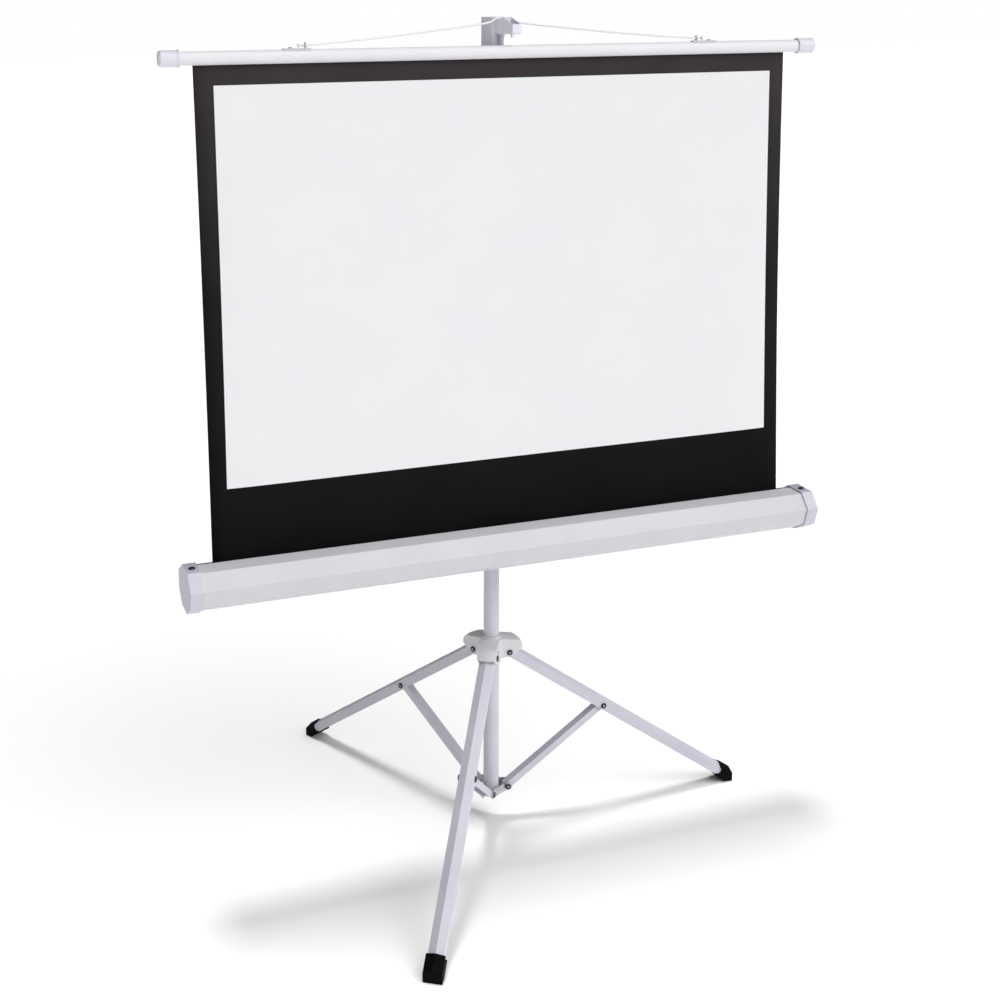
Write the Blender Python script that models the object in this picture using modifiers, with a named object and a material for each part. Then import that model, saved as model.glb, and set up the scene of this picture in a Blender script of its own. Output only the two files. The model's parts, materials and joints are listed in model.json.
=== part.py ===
"""Tripod pull-up projection screen, built as an assembly of separate named pieces.

Metres, +Z up, floor at z = 0. The screen faces -Y and X = 0 is the middle of the case.
Positions given "from the mast" are measured from the mast axis.
"""
import math

import bmesh
import bpy
from mathutils import Matrix

# Clearances
SEAT_GAP = 0.0003
PIN_GAP = 0.0003
SLIDE_GAP = 0.0003
SIDE_PLAY = 0.0005

# Mast
MAST_X = -0.0110
MAST_Y = -0.0084
MAST_RADIUS = 0.0120
MAST_WALL = 0.0011
MAST_TOP_Z = 0.7000
EXTENSION_RADIUS = 0.0095
EXTENSION_WALL = 0.0010
EXTENSION_BOTTOM_Z = 0.6000
BUSHING_LENGTH = 0.0300

# Tripod linkage: leg and brace are two equal links from their crossing to the mast
ARM_NAMES = ("front", "right", "rear")
FRONT_ARM_AZIMUTH = math.radians(-122.4)
ARM_STEP = math.radians(120.0)
PIVOT_RADIUS = 0.0255
BRACKET_PIVOT_Z = 0.0547
LINK_LENGTH = 0.1974
LEG_SLOPE = math.radians(35.6)
HUB_PIVOT_Z = BRACKET_PIVOT_Z + 2 * LINK_LENGTH * math.sin(LEG_SLOPE)

# Leg: folded sheet, open below, with a ridge on top
LEG_WIDTH = 0.0225
LEG_WALL = 0.0012
LEG_EDGE_DROP = 0.0066
LEG_EAVE = 0.0075
LEG_RIDGE = 0.0115
LEG_TOP_OVERHANG = 0.0060
LEG_ROOF_SETBACK = 0.0020

# Rubber boot, cut upright at its end and flat at its sole
BOOT_WALL = 0.0020
BOOT_GRIP = 0.0215
SOLE_SETBACK = 0.0029
BOOT_REACH = PIVOT_RADIUS + HUB_PIVOT_Z / math.tan(LEG_SLOPE) - SOLE_SETBACK
BOOT_END_WALL = 0.0026
BOOT_SCALLOP = 0.0062

# Brace: U channel, open on top
BRACE_WIDTH = 0.0140
BRACE_WALL = 0.0012
BRACE_DROP = 0.0055
BRACE_RISE = 0.0052
BRACE_OVERHANG = 0.0055

# Rivets with an eye in each head
RIVET_RADIUS = 0.0020
RIVET_EYE_RADIUS = 0.0015
RIVET_HEAD_RADIUS = 0.0046
RIVET_HEAD_HEIGHT = 0.0016

# Stamped bracket at the mast's foot
BRACKET_SHEET = 0.0016
BRACKET_EAR_REACH = 0.0070
BRACKET_STRIP_DISTANCE = 0.0175
BOLT_RADIUS = 0.0025
BOLT_HEAD_RADIUS = 0.0050
BOLT_HEAD_HEIGHT = 0.0030
BOLT_LENGTH = 0.0160
PLUG_LENGTH = 0.0220

# Sliding hub: three-lobed domed cap on a sleeve; heights are from the leg pivots
HUB_SLEEVE_RADIUS = 0.0147
HUB_TOP = 0.0284
HUB_BOTTOM = -0.0170
HUB_CROWN = 0.0250
HUB_SHOULDER = 0.0207
HUB_SHOULDER_RUN = 0.0125
HUB_LIP = 0.0050
HUB_LIP_HEIGHT = 0.0035
HUB_CHEEK_FOOT = -0.0075
HUB_CHEEK_RUN = 0.0335
HUB_LOBE_WIDTH = 0.0300
HUB_LOBE_REACH = 0.0485
HUB_LOBE_CORNER = 0.0060
HUB_PLAN_MARGIN = 0.0010
HUB_HOLLOW_RADIUS = 0.0100
HUB_ROOF_GAP = 0.0009
HUB_ARCH_DEPTH = 0.0015
HUB_ARCH_RUN = 0.0190
HUB_ARCH_SPRING = -0.0025
HUB_ARCH_TOP = 0.0150
HUB_ARCH_FALL = 0.0075

# Thumb knobs
KNOB_RADIUS = 0.0110
KNOB_FLUTE = 0.0012
KNOB_LOBES = 7
KNOB_LENGTH = 0.0095
KNOB_SHAFT_RADIUS = 0.0024
KNOB_BOSS_RADIUS = 0.0070
KNOB_BOSS_LENGTH = 0.0080

# Lock collar on top of the outer tube
COLLAR_WALL = 0.0040
COLLAR_SKIRT = 0.0300
COLLAR_HEAD = 0.0280
COLLAR_CHAMFER = 0.0020

# Hook head
HOOK_TURN = math.radians(22.0)
HOOK_BASE_Z = 1.2090
HOOK_HEIGHT = 0.0425
HOOK_BLOCK_WIDTH = 0.0238
HOOK_BLOCK_DEPTH = 0.0275
HOOK_BLOCK_CORNER = 0.0050
HOOK_BORE_DEPTH = 0.0280
HOOK_ARM_WIDTH = 0.0180
HOOK_ARM_REACH = 0.0500
HOOK_ARM_UNDERSIDE = 0.0190
HOOK_NOTCH_REACH = 0.0208
HOOK_NOTCH_DEPTH = 0.0036
HOOK_NOTCH_HALF_WIDTH = 0.0048
HOOK_PEAK_REACH = 0.0290
HOOK_NOSE_DROP = 0.0100
HOOK_CHEEK = 0.0018
HOOK_POCKET_FLOOR = 0.0250
HOOK_NIB_LENGTH = 0.0055
HOOK_NIB_DEPTH = 0.0050
HOOK_NIB_WIDTH = 0.0060
HOOK_POST_GAP = 0.0020
HOOK_POST_DEPTH = 0.0042
HOOK_POST_WIDTH = 0.0046
HOOK_POST_FOOT = 0.0030

# Top bar
BAR_OFFSET_Y = -0.0374
BAR_HANG = 0.0479
BAR_Z = HOOK_BASE_Z + HOOK_HEIGHT - BAR_HANG
BAR_RADIUS = 0.0093
BAR_WALL = 0.0012
BAR_SLOT = 0.0032
BAR_OVERHANG = 0.0450
BAR_CAP_RADIUS = 0.0112
BAR_CAP_LENGTH = 0.0280
BAR_CAP_END = 0.0030
BAR_CAP_CHAMFER = 0.0022
BAR_CAP_RIM = 0.0006
BAR_CAP_RIM_LENGTH = 0.0030
HEM_ROD_RADIUS = 0.0025

# Cord and its two clips on the bar
CLIP_INSET = 0.1864
CLIP_LENGTH = 0.0380
CLIP_SHEET = 0.0012
CLIP_HALF_ANGLE = math.radians(35.0)
CLIP_EYE_RADIUS = 0.0034
CLIP_EYE_WIRE = 0.0010
CLIP_EYE_INSET = 0.0070
CLIP_EYE_BITE = 0.0007
CLIP_RIVET_INSET = 0.0090
CLIP_RIVET_RADIUS = 0.0014
CLIP_RIVET_HEAD = 0.0026
CORD_RADIUS = 0.0014
CORD_STEP = 0.0082
CORD_SAG = 0.0020
CORD_TAIL = 0.0060
CORD_BEND_RUN = 0.0150
CORD_BEND_DROP = 0.0062

# Case: eight-sided extrusion; its corners are measured from the roller's axis
CASE_OFFSET_Y = -0.0736
CASE_Z = 0.4797
CASE_ROOF = 0.0325
CASE_ROOF_FRONT = 0.0194
CASE_NOSE = 0.0377
CASE_NOSE_Z = 0.0115
CASE_LIP = 0.0294
CASE_LIP_Z = -0.0139
CASE_FLOOR = -0.0290
CASE_FLOOR_FRONT = 0.0020
CASE_FLOOR_BACK = 0.0336
CASE_BACK = 0.0516
CASE_BACK_HALF_HEIGHT = 0.0130
CASE_WALL = 0.0012
CASE_HALF_LENGTH = 0.4935
CASE_SLOT_LIP = 0.0026
CAP_LENGTH = 0.0185
CAP_WALL = 0.0018
CAP_END = 0.0030
CAP_BOSS_RADIUS = 0.0070
CAP_BOSS_LENGTH = 0.0140
CAP_BORE_FLOOR = 0.0010
SCREW_RADIUS = 0.0016
SCREW_HEAD_RADIUS = 0.0032
SCREW_HEAD_HEIGHT = 0.0018
SCREW_LENGTH = 0.0060
CAP_SCREW_INSET = 0.0092
CAP_SCREW_OFFSET_Y = -0.0040

# Spring roller in the case
ROLLER_RADIUS = 0.0095
ROLLER_WALL = 0.0012
ROLLER_END_ROOM = 0.0385
ROLLER_HALF_LENGTH = CASE_HALF_LENGTH - ROLLER_END_ROOM
ROLL_RADIUS = 0.0145
ROLLER_PLUG_LENGTH = 0.0120
ROLLER_PLUG_FLANGE = 0.0027
SPINDLE_RADIUS = 0.0035
SPINDLE_SHORT = 0.0650
SPINDLE_LONG = 0.2300
SPRING_WIRE = 0.0007
SPRING_TURNS = 9
SPRING_STEPS = 8
SPRING_LENGTH = 0.1700

# Screen fabric, as wide as the roller allows, and the bar past its sides
FABRIC_SIDE_ROOM = 0.0056
FABRIC_WIDTH = 2 * (ROLLER_HALF_LENGTH - FABRIC_SIDE_ROOM)
FABRIC_THICKNESS = 0.0008
FABRIC_FOOT_OFFSET_Y = CASE_OFFSET_Y + ROLL_RADIUS + FABRIC_THICKNESS / 2 + SEAT_GAP / 3
BAR_HALF_LENGTH = FABRIC_WIDTH / 2 + BAR_OVERHANG
CLIP_X = BAR_HALF_LENGTH - CLIP_INSET

# Carriage that holds the case to the mast
CARRIAGE_WALL = 0.0042
CARRIAGE_HEIGHT = 0.0440
CARRIAGE_WEB = 0.0200
CARRIAGE_PLATE = 0.0040
CARRIAGE_PLATE_WIDTH = 0.0700
CARRIAGE_PLATE_HEIGHT = 0.0220
CARRIAGE_SCREW_X = 0.0270
CARRIAGE_SCREW_LENGTH = 0.0110

ROUND_STEPS = 28
DOME_STEPS = 48
HIDDEN_STEPS = 20
SMALL_STEPS = 12
RIVET_STEPS = 10


def clear_scene():
    for item in list(bpy.data.objects):
        bpy.data.objects.remove(item, do_unlink=True)


def new_collection(name):
    made = bpy.data.collections.new(name)
    bpy.context.scene.collection.children.link(made)
    return made


def linear(value):
    if value <= 0.04045:
        return value / 12.92
    return ((value + 0.055) / 1.055) ** 2.4


def make_material(name, colour, roughness, metallic=0.0):
    made = bpy.data.materials.new(name)
    made.use_nodes = True
    shader = made.node_tree.nodes["Principled BSDF"]
    parts = [int(colour[start:start + 2], 16) / 255 for start in (0, 2, 4)]
    shader.inputs["Base Color"].default_value = [linear(part) for part in parts] + [1.0]
    shader.inputs["Roughness"].default_value = roughness
    shader.inputs["Metallic"].default_value = metallic
    return made


def weld(mesh):
    work = bmesh.new()
    work.from_mesh(mesh)
    bmesh.ops.remove_doubles(work, verts=work.verts, dist=0.000002)
    bmesh.ops.recalc_face_normals(work, faces=work.faces)
    if work.calc_volume(signed=True) < 0:
        bmesh.ops.reverse_faces(work, faces=work.faces)
    work.to_mesh(mesh)
    work.free()
    return mesh


def evaluated_mesh(data, modifier=None):
    """Plain welded mesh of a curve, or of a mesh with one modifier set by a function."""
    holder = bpy.data.objects.new("holder", data)
    bpy.context.scene.collection.objects.link(holder)
    if modifier:
        modifier(holder)
    graph = bpy.context.evaluated_depsgraph_get()
    mesh = bpy.data.meshes.new_from_object(holder.evaluated_get(graph))
    bpy.data.objects.remove(holder, do_unlink=True)
    return weld(mesh)


AXIS_FRAMES = {
    "x": Matrix(((0, 0, 1, 0), (1, 0, 0, 0), (0, 1, 0, 0), (0, 0, 0, 1))),
    "y": Matrix(((1, 0, 0, 0), (0, 0, -1, 0), (0, 1, 0, 0), (0, 0, 0, 1))),
    "z": Matrix.Identity(4),
}


def prism(loops, start, end, axis="z", rounding=0.0):
    """Flat outline carried from start to end along an axis, its end edges rounded if asked.

    The outline's two numbers are (y, z) along x, (x, z) along y and (x, y) along z.
    """
    low, high = sorted((start, end))
    curve = bpy.data.curves.new("outline", "CURVE")
    curve.dimensions = "2D"
    curve.fill_mode = "BOTH"
    curve.extrude = (high - low) / 2 - rounding
    curve.bevel_depth = rounding
    curve.bevel_resolution = 1
    curve.offset = -rounding
    for loop in loops:
        spline = curve.splines.new("POLY")
        spline.points.add(len(loop) - 1)
        for point, place in zip(spline.points, loop):
            point.co = (place[0], place[1], 0.0, 1.0)
        spline.use_cyclic_u = True
    mesh = evaluated_mesh(curve)
    middle = (low + high) / 2
    shift = [middle if axis == letter else 0.0 for letter in "xyz"]
    mesh.transform(Matrix.Translation(shift) @ AXIS_FRAMES[axis])
    return mesh


def circle(radius, steps=ROUND_STEPS, centre=(0.0, 0.0)):
    turns = [2 * math.pi * (index + 0.5) / steps for index in range(steps)]
    return [(centre[0] + radius * math.cos(turn), centre[1] + radius * math.sin(turn))
            for turn in turns]


def rectangle(left, right, low, high):
    return [(left, low), (right, low), (right, high), (left, high)]


def turned(profile, axis="z", steps=ROUND_STEPS):
    """Turned solid from a (radius, height) profile; a profile off the axis is closed to a ring."""
    edges = [(index, index + 1) for index in range(len(profile) - 1)]
    if profile[0][0] > 0 and profile[-1][0] > 0:
        edges.append((len(profile) - 1, 0))
    line = bpy.data.meshes.new("profile")
    line.from_pydata([(radius, 0.0, height) for radius, height in profile], edges, [])

    def turn(holder):
        step = holder.modifiers.new("turn", "SCREW")
        step.axis = "Z"
        step.angle = 2 * math.pi
        step.steps = steps
        step.render_steps = steps
        step.use_merge_vertices = True
        step.merge_threshold = 0.00001

    mesh = evaluated_mesh(line, turn)
    if axis == "x":
        mesh.transform(Matrix.Rotation(math.pi / 2, 4, "Y"))
    if axis == "y":
        mesh.transform(Matrix.Rotation(-math.pi / 2, 4, "X"))
    return weld(mesh)


def ribbon(path, thickness):
    """Closed outline of a bent strip of sheet; the path is its middle line."""
    normals = []
    for first, second in zip(path, path[1:]):
        run = (second[0] - first[0], second[1] - first[1])
        size = math.hypot(*run)
        normals.append((-run[1] / size, run[0] / size))
    left, right = [], []
    for index, point in enumerate(path):
        one = normals[max(index - 1, 0)]
        two = normals[min(index, len(normals) - 1)]
        scale = thickness / 2 / (1 + one[0] * two[0] + one[1] * two[1])
        shift = ((one[0] + two[0]) * scale, (one[1] + two[1]) * scale)
        left.append((point[0] + shift[0], point[1] + shift[1]))
        right.append((point[0] - shift[0], point[1] - shift[1]))
    return left + right[::-1]


def grown(loop, offset):
    """Closed outline, drawn counter-clockwise, moved outward by an offset."""
    outline = []
    for index, point in enumerate(loop):
        before = loop[index - 1]
        after = loop[(index + 1) % len(loop)]
        normals = []
        for first, second in ((before, point), (point, after)):
            run = (second[0] - first[0], second[1] - first[1])
            size = math.hypot(*run)
            normals.append((run[1] / size, -run[0] / size))
        one, two = normals
        scale = offset / (1 + one[0] * two[0] + one[1] * two[1])
        outline.append((point[0] + (one[0] + two[0]) * scale, point[1] + (one[1] + two[1]) * scale))
    return outline


def join(meshes):
    """Several separate solids in one mesh, used as one cutter."""
    work = bmesh.new()
    for mesh in meshes:
        work.from_mesh(mesh)
    joined = bpy.data.meshes.new("joined")
    work.to_mesh(joined)
    work.free()
    return joined


def moved(mesh, place=(0.0, 0.0, 0.0), turn_z=0.0):
    mesh.transform(Matrix.Translation(place) @ Matrix.Rotation(turn_z, 4, "Z"))
    return mesh


def round_arms(make):
    """Same solid at the three arm azimuths, as three meshes."""
    return [moved(make(), turn_z=azimuth) for azimuth in ARM_AZIMUTHS]


def piece(name, mesh, material, parent=None, place=(0, 0, 0), turn=(0, 0, 0)):
    item = bpy.data.objects.new(name, mesh)
    PARTS.objects.link(item)
    item.parent = parent
    item.location = place
    item.rotation_euler = turn
    mesh.name = name
    mesh.materials.clear()
    mesh.materials.append(material)
    return item


def empty(name, place, turn_z=0.0):
    item = bpy.data.objects.new(name, None)
    PARTS.objects.link(item)
    item.location = place
    item.rotation_euler = (0.0, 0.0, turn_z)
    item.empty_display_size = 0.02
    return item


def combine(item, mesh, operation, own_frame=True):
    """Boolean with a helper solid, given in the piece's own frame or in its parent's."""
    tool = bpy.data.objects.new("tool_" + item.name, mesh)
    TOOLS.objects.link(tool)
    tool.parent = item.parent
    if own_frame:
        tool.location = item.location
        tool.rotation_euler = item.rotation_euler
    tool.hide_render = True
    tool.display_type = "WIRE"
    step = item.modifiers.new(operation.lower(), "BOOLEAN")
    step.operation = operation
    step.solver = "EXACT"
    step.object = tool


def rivet(half_span):
    """Rivet along y with a domed, eyed head past each end of the span."""
    under = half_span + SEAT_GAP
    head = RIVET_HEAD_RADIUS
    top = under + RIVET_HEAD_HEIGHT
    half = [(RIVET_RADIUS, under), (head, under), (head, under + RIVET_HEAD_HEIGHT * 0.45),
            (head * 0.7, top), (RIVET_EYE_RADIUS, top), (RIVET_EYE_RADIUS, under)]
    profile = [(0.0, -under)]
    profile += [(radius, -place) for radius, place in half[::-1]]
    profile += half
    profile += [(0.0, under)]
    return turned(profile, "y", RIVET_STEPS)


def headed_screw(shaft, head, height, length, axis):
    """Screw with its head's underside at zero and its tip at minus the length."""
    profile = [(0.0, -length), (shaft * 0.7, -length), (shaft, -length + shaft * 0.6)]
    profile += [(shaft, 0.0), (head, 0.0), (head, height * 0.6), (head * 0.75, height)]
    profile += [(0.0, height)]
    return turned(profile, axis, SMALL_STEPS)


def cross_hole(radius, half_span, along=0.0, height=0.0):
    return prism([circle(radius, SMALL_STEPS, (along, height))], -half_span, half_span, "y")


def leg_section(offset):
    """Ridged leg outline moved outward by an offset: half width, eave and ridge heights."""
    half = LEG_WIDTH / 2
    slope = (LEG_RIDGE - LEG_EAVE) / half
    ridge = LEG_RIDGE + offset * math.hypot(1.0, slope)
    return half + offset, ridge - slope * (half + offset), ridge


def leg_channel():
    half, eave, ridge = leg_section(0.0)
    inner_half, inner_eave, inner_ridge = leg_section(-LEG_WALL)
    outer = [(-half, -LEG_EDGE_DROP), (-half, eave), (0.0, ridge), (half, eave)]
    outer += [(half, -LEG_EDGE_DROP)]
    inner = [(inner_half, -LEG_EDGE_DROP), (inner_half, inner_eave), (0.0, inner_ridge)]
    inner += [(-inner_half, inner_eave), (-inner_half, -LEG_EDGE_DROP)]
    return outer + inner


def leg_solid(offset):
    half, eave, ridge = leg_section(offset)
    low = -LEG_EDGE_DROP - offset
    return [(-half, low), (-half, eave), (0.0, ridge), (half, eave), (half, low)]


def stadium(left, right, low, high):
    """Long outline with round ends, as seen on the side of a brace."""
    radius = (high - low) / 2
    middle = (high + low) / 2
    outline = []
    for centre, start in ((right - radius, -90.0), (left + radius, 90.0)):
        for index in range(9):
            turn = math.radians(start + index * 22.5)
            outline.append((centre + radius * math.cos(turn), middle + radius * math.sin(turn)))
    return outline


def slot_place():
    """Where the fabric leaves the case's roof, from the roller's axis."""
    height = BAR_Z - HEM_ROD_RADIUS - SEAT_GAP - CASE_Z
    lean = (BAR_OFFSET_Y - FABRIC_FOOT_OFFSET_Y) * CASE_ROOF / height
    return FABRIC_FOOT_OFFSET_Y - CASE_OFFSET_Y + lean


def case_outline():
    """Corners of the case from its roof's back edge round the front, floor and back."""
    return [(slot_place() + CASE_SLOT_LIP, CASE_ROOF), (-CASE_ROOF_FRONT, CASE_ROOF),
            (-CASE_NOSE, CASE_NOSE_Z), (-CASE_LIP, CASE_LIP_Z), (-CASE_FLOOR_FRONT, CASE_FLOOR),
            (CASE_FLOOR_BACK, CASE_FLOOR), (CASE_BACK, -CASE_BACK_HALF_HEIGHT),
            (CASE_BACK, CASE_BACK_HALF_HEIGHT)]


def smooth_route(points, step):
    """Points at an even step along a smooth curve through the route points."""
    dense = []
    padded = [points[0]] + points + [points[-1]]
    for index in range(1, len(padded) - 2):
        before, start, end, after = padded[index - 1:index + 3]
        for part in range(24):
            share = part / 24
            dense.append([0.5 * (2 * b + (c - a) * share
                                 + (2 * a - 5 * b + 4 * c - d) * share ** 2
                                 + (3 * b - a - 3 * c + d) * share ** 3)
                          for a, b, c, d in zip(before, start, end, after)])
    dense.append(list(points[-1]))
    route = [dense[0]]
    for place in dense[1:-1]:
        if math.dist(place, route[-1]) >= step:
            route.append(place)
    if math.dist(route[-1], dense[-1]) < step * 0.5:
        route.pop()
    route.append(dense[-1])
    return route


def wire(points, radius, resolution):
    """Round wire along points, ends filled."""
    curve = bpy.data.curves.new("wire", "CURVE")
    curve.dimensions = "3D"
    curve.bevel_depth = radius
    curve.bevel_resolution = resolution
    curve.use_fill_caps = True
    spline = curve.splines.new("POLY")
    spline.points.add(len(points) - 1)
    for point, place in zip(spline.points, points):
        point.co = (place[0], place[1], place[2], 1.0)
    return curve


def build_tripod(mast, paint, steel, rubber, plastic):
    ridge_run = BOOT_REACH - BOOT_END_WALL - PIVOT_RADIUS - LEG_RIDGE * math.sin(LEG_SLOPE)
    leg_end = ridge_run / math.cos(LEG_SLOPE)
    boot_start = leg_end - BOOT_GRIP
    boot_end = leg_end + BOOT_GRIP
    pin_hole = RIVET_RADIUS + PIN_GAP
    for name, azimuth in zip(ARM_NAMES, ARM_AZIMUTHS):
        arm = empty("arm_" + name, (MAST_X, MAST_Y, 0.0), azimuth)
        leg_place = (PIVOT_RADIUS, 0.0, HUB_PIVOT_Z)
        leg_turn = (0.0, LEG_SLOPE, 0.0)
        leg = piece("leg_" + name, prism([leg_channel()], -LEG_TOP_OVERHANG, leg_end, "x"),
                    paint, arm, leg_place, leg_turn)
        combine(leg, join([cross_hole(pin_hole, LEG_WIDTH),
                           cross_hole(pin_hole, LEG_WIDTH, LINK_LENGTH)]), "DIFFERENCE")
        roof_cut = rectangle(-1.0, -LEG_ROOF_SETBACK, LEG_EAVE - LEG_WALL, 1.0)
        combine(leg, prism([roof_cut], -LEG_WIDTH, LEG_WIDTH, "y"), "DIFFERENCE")

        boot = piece("boot_" + name,
                     prism([leg_solid(SEAT_GAP + BOOT_WALL)], boot_start, boot_end, "x"),
                     rubber, arm, leg_place, leg_turn)
        combine(boot, prism([leg_solid(SEAT_GAP)], boot_start - BOOT_WALL, leg_end + SEAT_GAP, "x"),
                "DIFFERENCE")
        combine(boot, cross_hole(BOOT_SCALLOP, LEG_WIDTH, boot_start, LEG_EAVE * 0.15),
                "DIFFERENCE")
        kept = prism([rectangle(0.0, BOOT_REACH, 0.0, 1.0)], -1.0, 1.0, "y")
        combine(boot, kept, "INTERSECT", own_frame=False)

        half = BRACE_WIDTH / 2 - BRACE_WALL / 2
        web = BRACE_RISE - BRACE_WALL / 2
        channel = ribbon([(-half, -BRACE_DROP), (-half, web), (half, web), (half, -BRACE_DROP)],
                         BRACE_WALL)
        brace_end = LINK_LENGTH + BRACE_OVERHANG
        brace = piece("brace_" + name,
                      prism([channel], -BRACE_OVERHANG - 0.001, brace_end + 0.001, "x"), paint, arm,
                      (PIVOT_RADIUS, 0.0, BRACKET_PIVOT_Z), (0.0, -LEG_SLOPE, 0.0))
        side = stadium(-BRACE_OVERHANG, brace_end, -BRACE_DROP - 0.0002, BRACE_RISE + 0.0002)
        combine(brace, prism([side], -BRACE_WIDTH, BRACE_WIDTH, "y"), "INTERSECT")
        combine(brace, join([cross_hole(pin_hole, BRACE_WIDTH),
                             cross_hole(pin_hole, BRACE_WIDTH, LINK_LENGTH)]), "DIFFERENCE")

        crossing = (PIVOT_RADIUS + LINK_LENGTH * math.cos(LEG_SLOPE), 0.0,
                    BRACKET_PIVOT_Z + LINK_LENGTH * math.sin(LEG_SLOPE))
        piece("leg_rivet_" + name, rivet(LEG_WIDTH / 2), steel, arm, crossing)
        ear_outer = BRACE_WIDTH / 2 + SIDE_PLAY + BRACKET_SHEET
        piece("bracket_rivet_" + name, rivet(ear_outer), steel, arm,
              (PIVOT_RADIUS, 0.0, BRACKET_PIVOT_Z))
        piece("hub_rivet_" + name, rivet(HUB_LOBE_WIDTH / 2 - HUB_ARCH_DEPTH), steel, arm, leg_place)
    build_hub(mast, plastic)
    build_bracket(mast, steel)


def hub_hollow_distance():
    """From the mast's axis to the middle of a hollow corner between two lobes."""
    return (HUB_LOBE_WIDTH / 2 + HUB_HOLLOW_RADIUS) / math.sin(ARM_STEP / 2)


def hub_plan():
    """Three lobes seen from above, with rounded ends and hollow corners between them."""
    half = HUB_LOBE_WIDTH / 2
    corner = HUB_LOBE_CORNER
    reach = HUB_LOBE_REACH + HUB_PLAN_MARGIN
    distance = hub_hollow_distance()
    outline = []
    for azimuth in ARM_AZIMUTHS:
        for side, start in ((-1, -90.0), (1, 0.0)):
            for index in range(4):
                swing = math.radians(start + 30.0 * index)
                along = reach - corner + corner * math.cos(swing)
                across = side * (half - corner) + corner * math.sin(swing)
                outline.append((along * math.cos(azimuth) - across * math.sin(azimuth),
                                along * math.sin(azimuth) + across * math.cos(azimuth)))
        middle = azimuth + ARM_STEP / 2
        for index in range(6):
            swing = azimuth + math.radians(270.0 - 12.0 * index)
            outline.append((distance * math.cos(middle) + HUB_HOLLOW_RADIUS * math.cos(swing),
                            distance * math.sin(middle) + HUB_HOLLOW_RADIUS * math.sin(swing)))
    return outline


def hub_dome(inner):
    """Turned outline of the cap: level cheek feet, a blunt lip and a roof that rises to the sleeve."""
    reach = HUB_LOBE_REACH
    lip_top = HUB_LIP + HUB_LIP_HEIGHT
    profile = [(inner, HUB_CHEEK_FOOT), (HUB_CHEEK_RUN, HUB_CHEEK_FOOT), (reach, HUB_LIP)]
    for index in range(6):
        turn = math.radians(18.0 * index)
        profile.append((reach - HUB_SHOULDER_RUN * (1 - math.cos(turn)),
                        lip_top + (HUB_SHOULDER - lip_top) * math.sin(turn)))
    return profile + [(HUB_SLEEVE_RADIUS, HUB_CROWN), (inner, HUB_CROWN)]


def hub_arch():
    """Side outline of the recess in a cheek: an arch that springs beside the sleeve and runs outward."""
    start = hub_hollow_distance() * math.cos(ARM_STEP / 2) + SEAT_GAP
    out = HUB_LOBE_REACH * 1.4
    low = HUB_CHEEK_FOOT - 0.01
    outline = [(start, low), (out, low), (out, HUB_ARCH_FALL)]
    for index in range(7):
        turn = math.radians(90.0 + 15.0 * index)
        outline.append((start + HUB_ARCH_RUN * (1 + math.cos(turn)),
                        HUB_ARCH_SPRING + (HUB_ARCH_TOP - HUB_ARCH_SPRING) * math.sin(turn)))
    return outline


def build_hub(mast, plastic):
    """Sliding hub: sleeve and domed cap, each lobe slotted for its leg.

    Every cheek has an arched recess, in which the rivet's head sits.
    """
    bore = MAST_RADIUS + SLIDE_GAP
    half = HUB_LOBE_WIDTH / 2
    hub = piece("sliding_hub", prism([hub_plan()], HUB_BOTTOM, HUB_TOP), plastic, mast,
                (0.0, 0.0, HUB_PIVOT_Z))
    combine(hub, turned(hub_dome(bore * 0.5), "z", DOME_STEPS), "INTERSECT")
    sleeve = [(bore * 0.6, HUB_BOTTOM), (HUB_SLEEVE_RADIUS, HUB_BOTTOM), (HUB_SLEEVE_RADIUS, HUB_TOP),
              (bore * 0.6, HUB_TOP)]
    combine(hub, turned(sleeve), "UNION")
    ceiling = LEG_RIDGE / math.cos(LEG_SLOPE) + HUB_ROOF_GAP
    out = HUB_LOBE_REACH * 1.4
    inner = bore + 0.0040
    low = HUB_BOTTOM - 0.01
    slot = [(inner, low), (out, low), (out, ceiling - (out - PIVOT_RADIUS) * math.tan(LEG_SLOPE)),
            (PIVOT_RADIUS, ceiling), (inner, ceiling)]
    slot_half = LEG_WIDTH / 2 + SIDE_PLAY
    slots = round_arms(lambda: prism([slot], -slot_half, slot_half, "y"))
    mast_bore = prism([circle(bore)], HUB_BOTTOM - 0.01, HUB_TOP + 0.01)
    combine(hub, join(slots + [mast_bore]), "DIFFERENCE")
    recesses = []
    for side in (-1, 1):
        recesses += round_arms(lambda: prism([hub_arch()], side * (half - HUB_ARCH_DEPTH),
                                             side * (half + 0.01), "y"))
    pin = RIVET_RADIUS + PIN_GAP
    holes = round_arms(lambda: cross_hole(pin, HUB_LOBE_WIDTH, PIVOT_RADIUS))
    for cutters in (recesses, holes):
        combine(hub, join(cutters), "DIFFERENCE")


def ear_corners():
    """Side outline of what is cut off beyond the pivots, so that the ears end round."""
    radius = BRACKET_EAR_REACH * 0.98
    beyond = BRACKET_EAR_REACH * 2
    low = BRACKET_PIVOT_Z - beyond
    high = BRACKET_PIVOT_Z + beyond
    outline = [(PIVOT_RADIUS, low), (PIVOT_RADIUS + beyond, low), (PIVOT_RADIUS + beyond, high),
               (PIVOT_RADIUS, high)]
    for index in range(7):
        turn = math.radians(90.0 - 30.0 * index)
        outline.append((PIVOT_RADIUS + radius * math.cos(turn), BRACKET_PIVOT_Z + radius * math.sin(turn)))
    return outline


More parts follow.
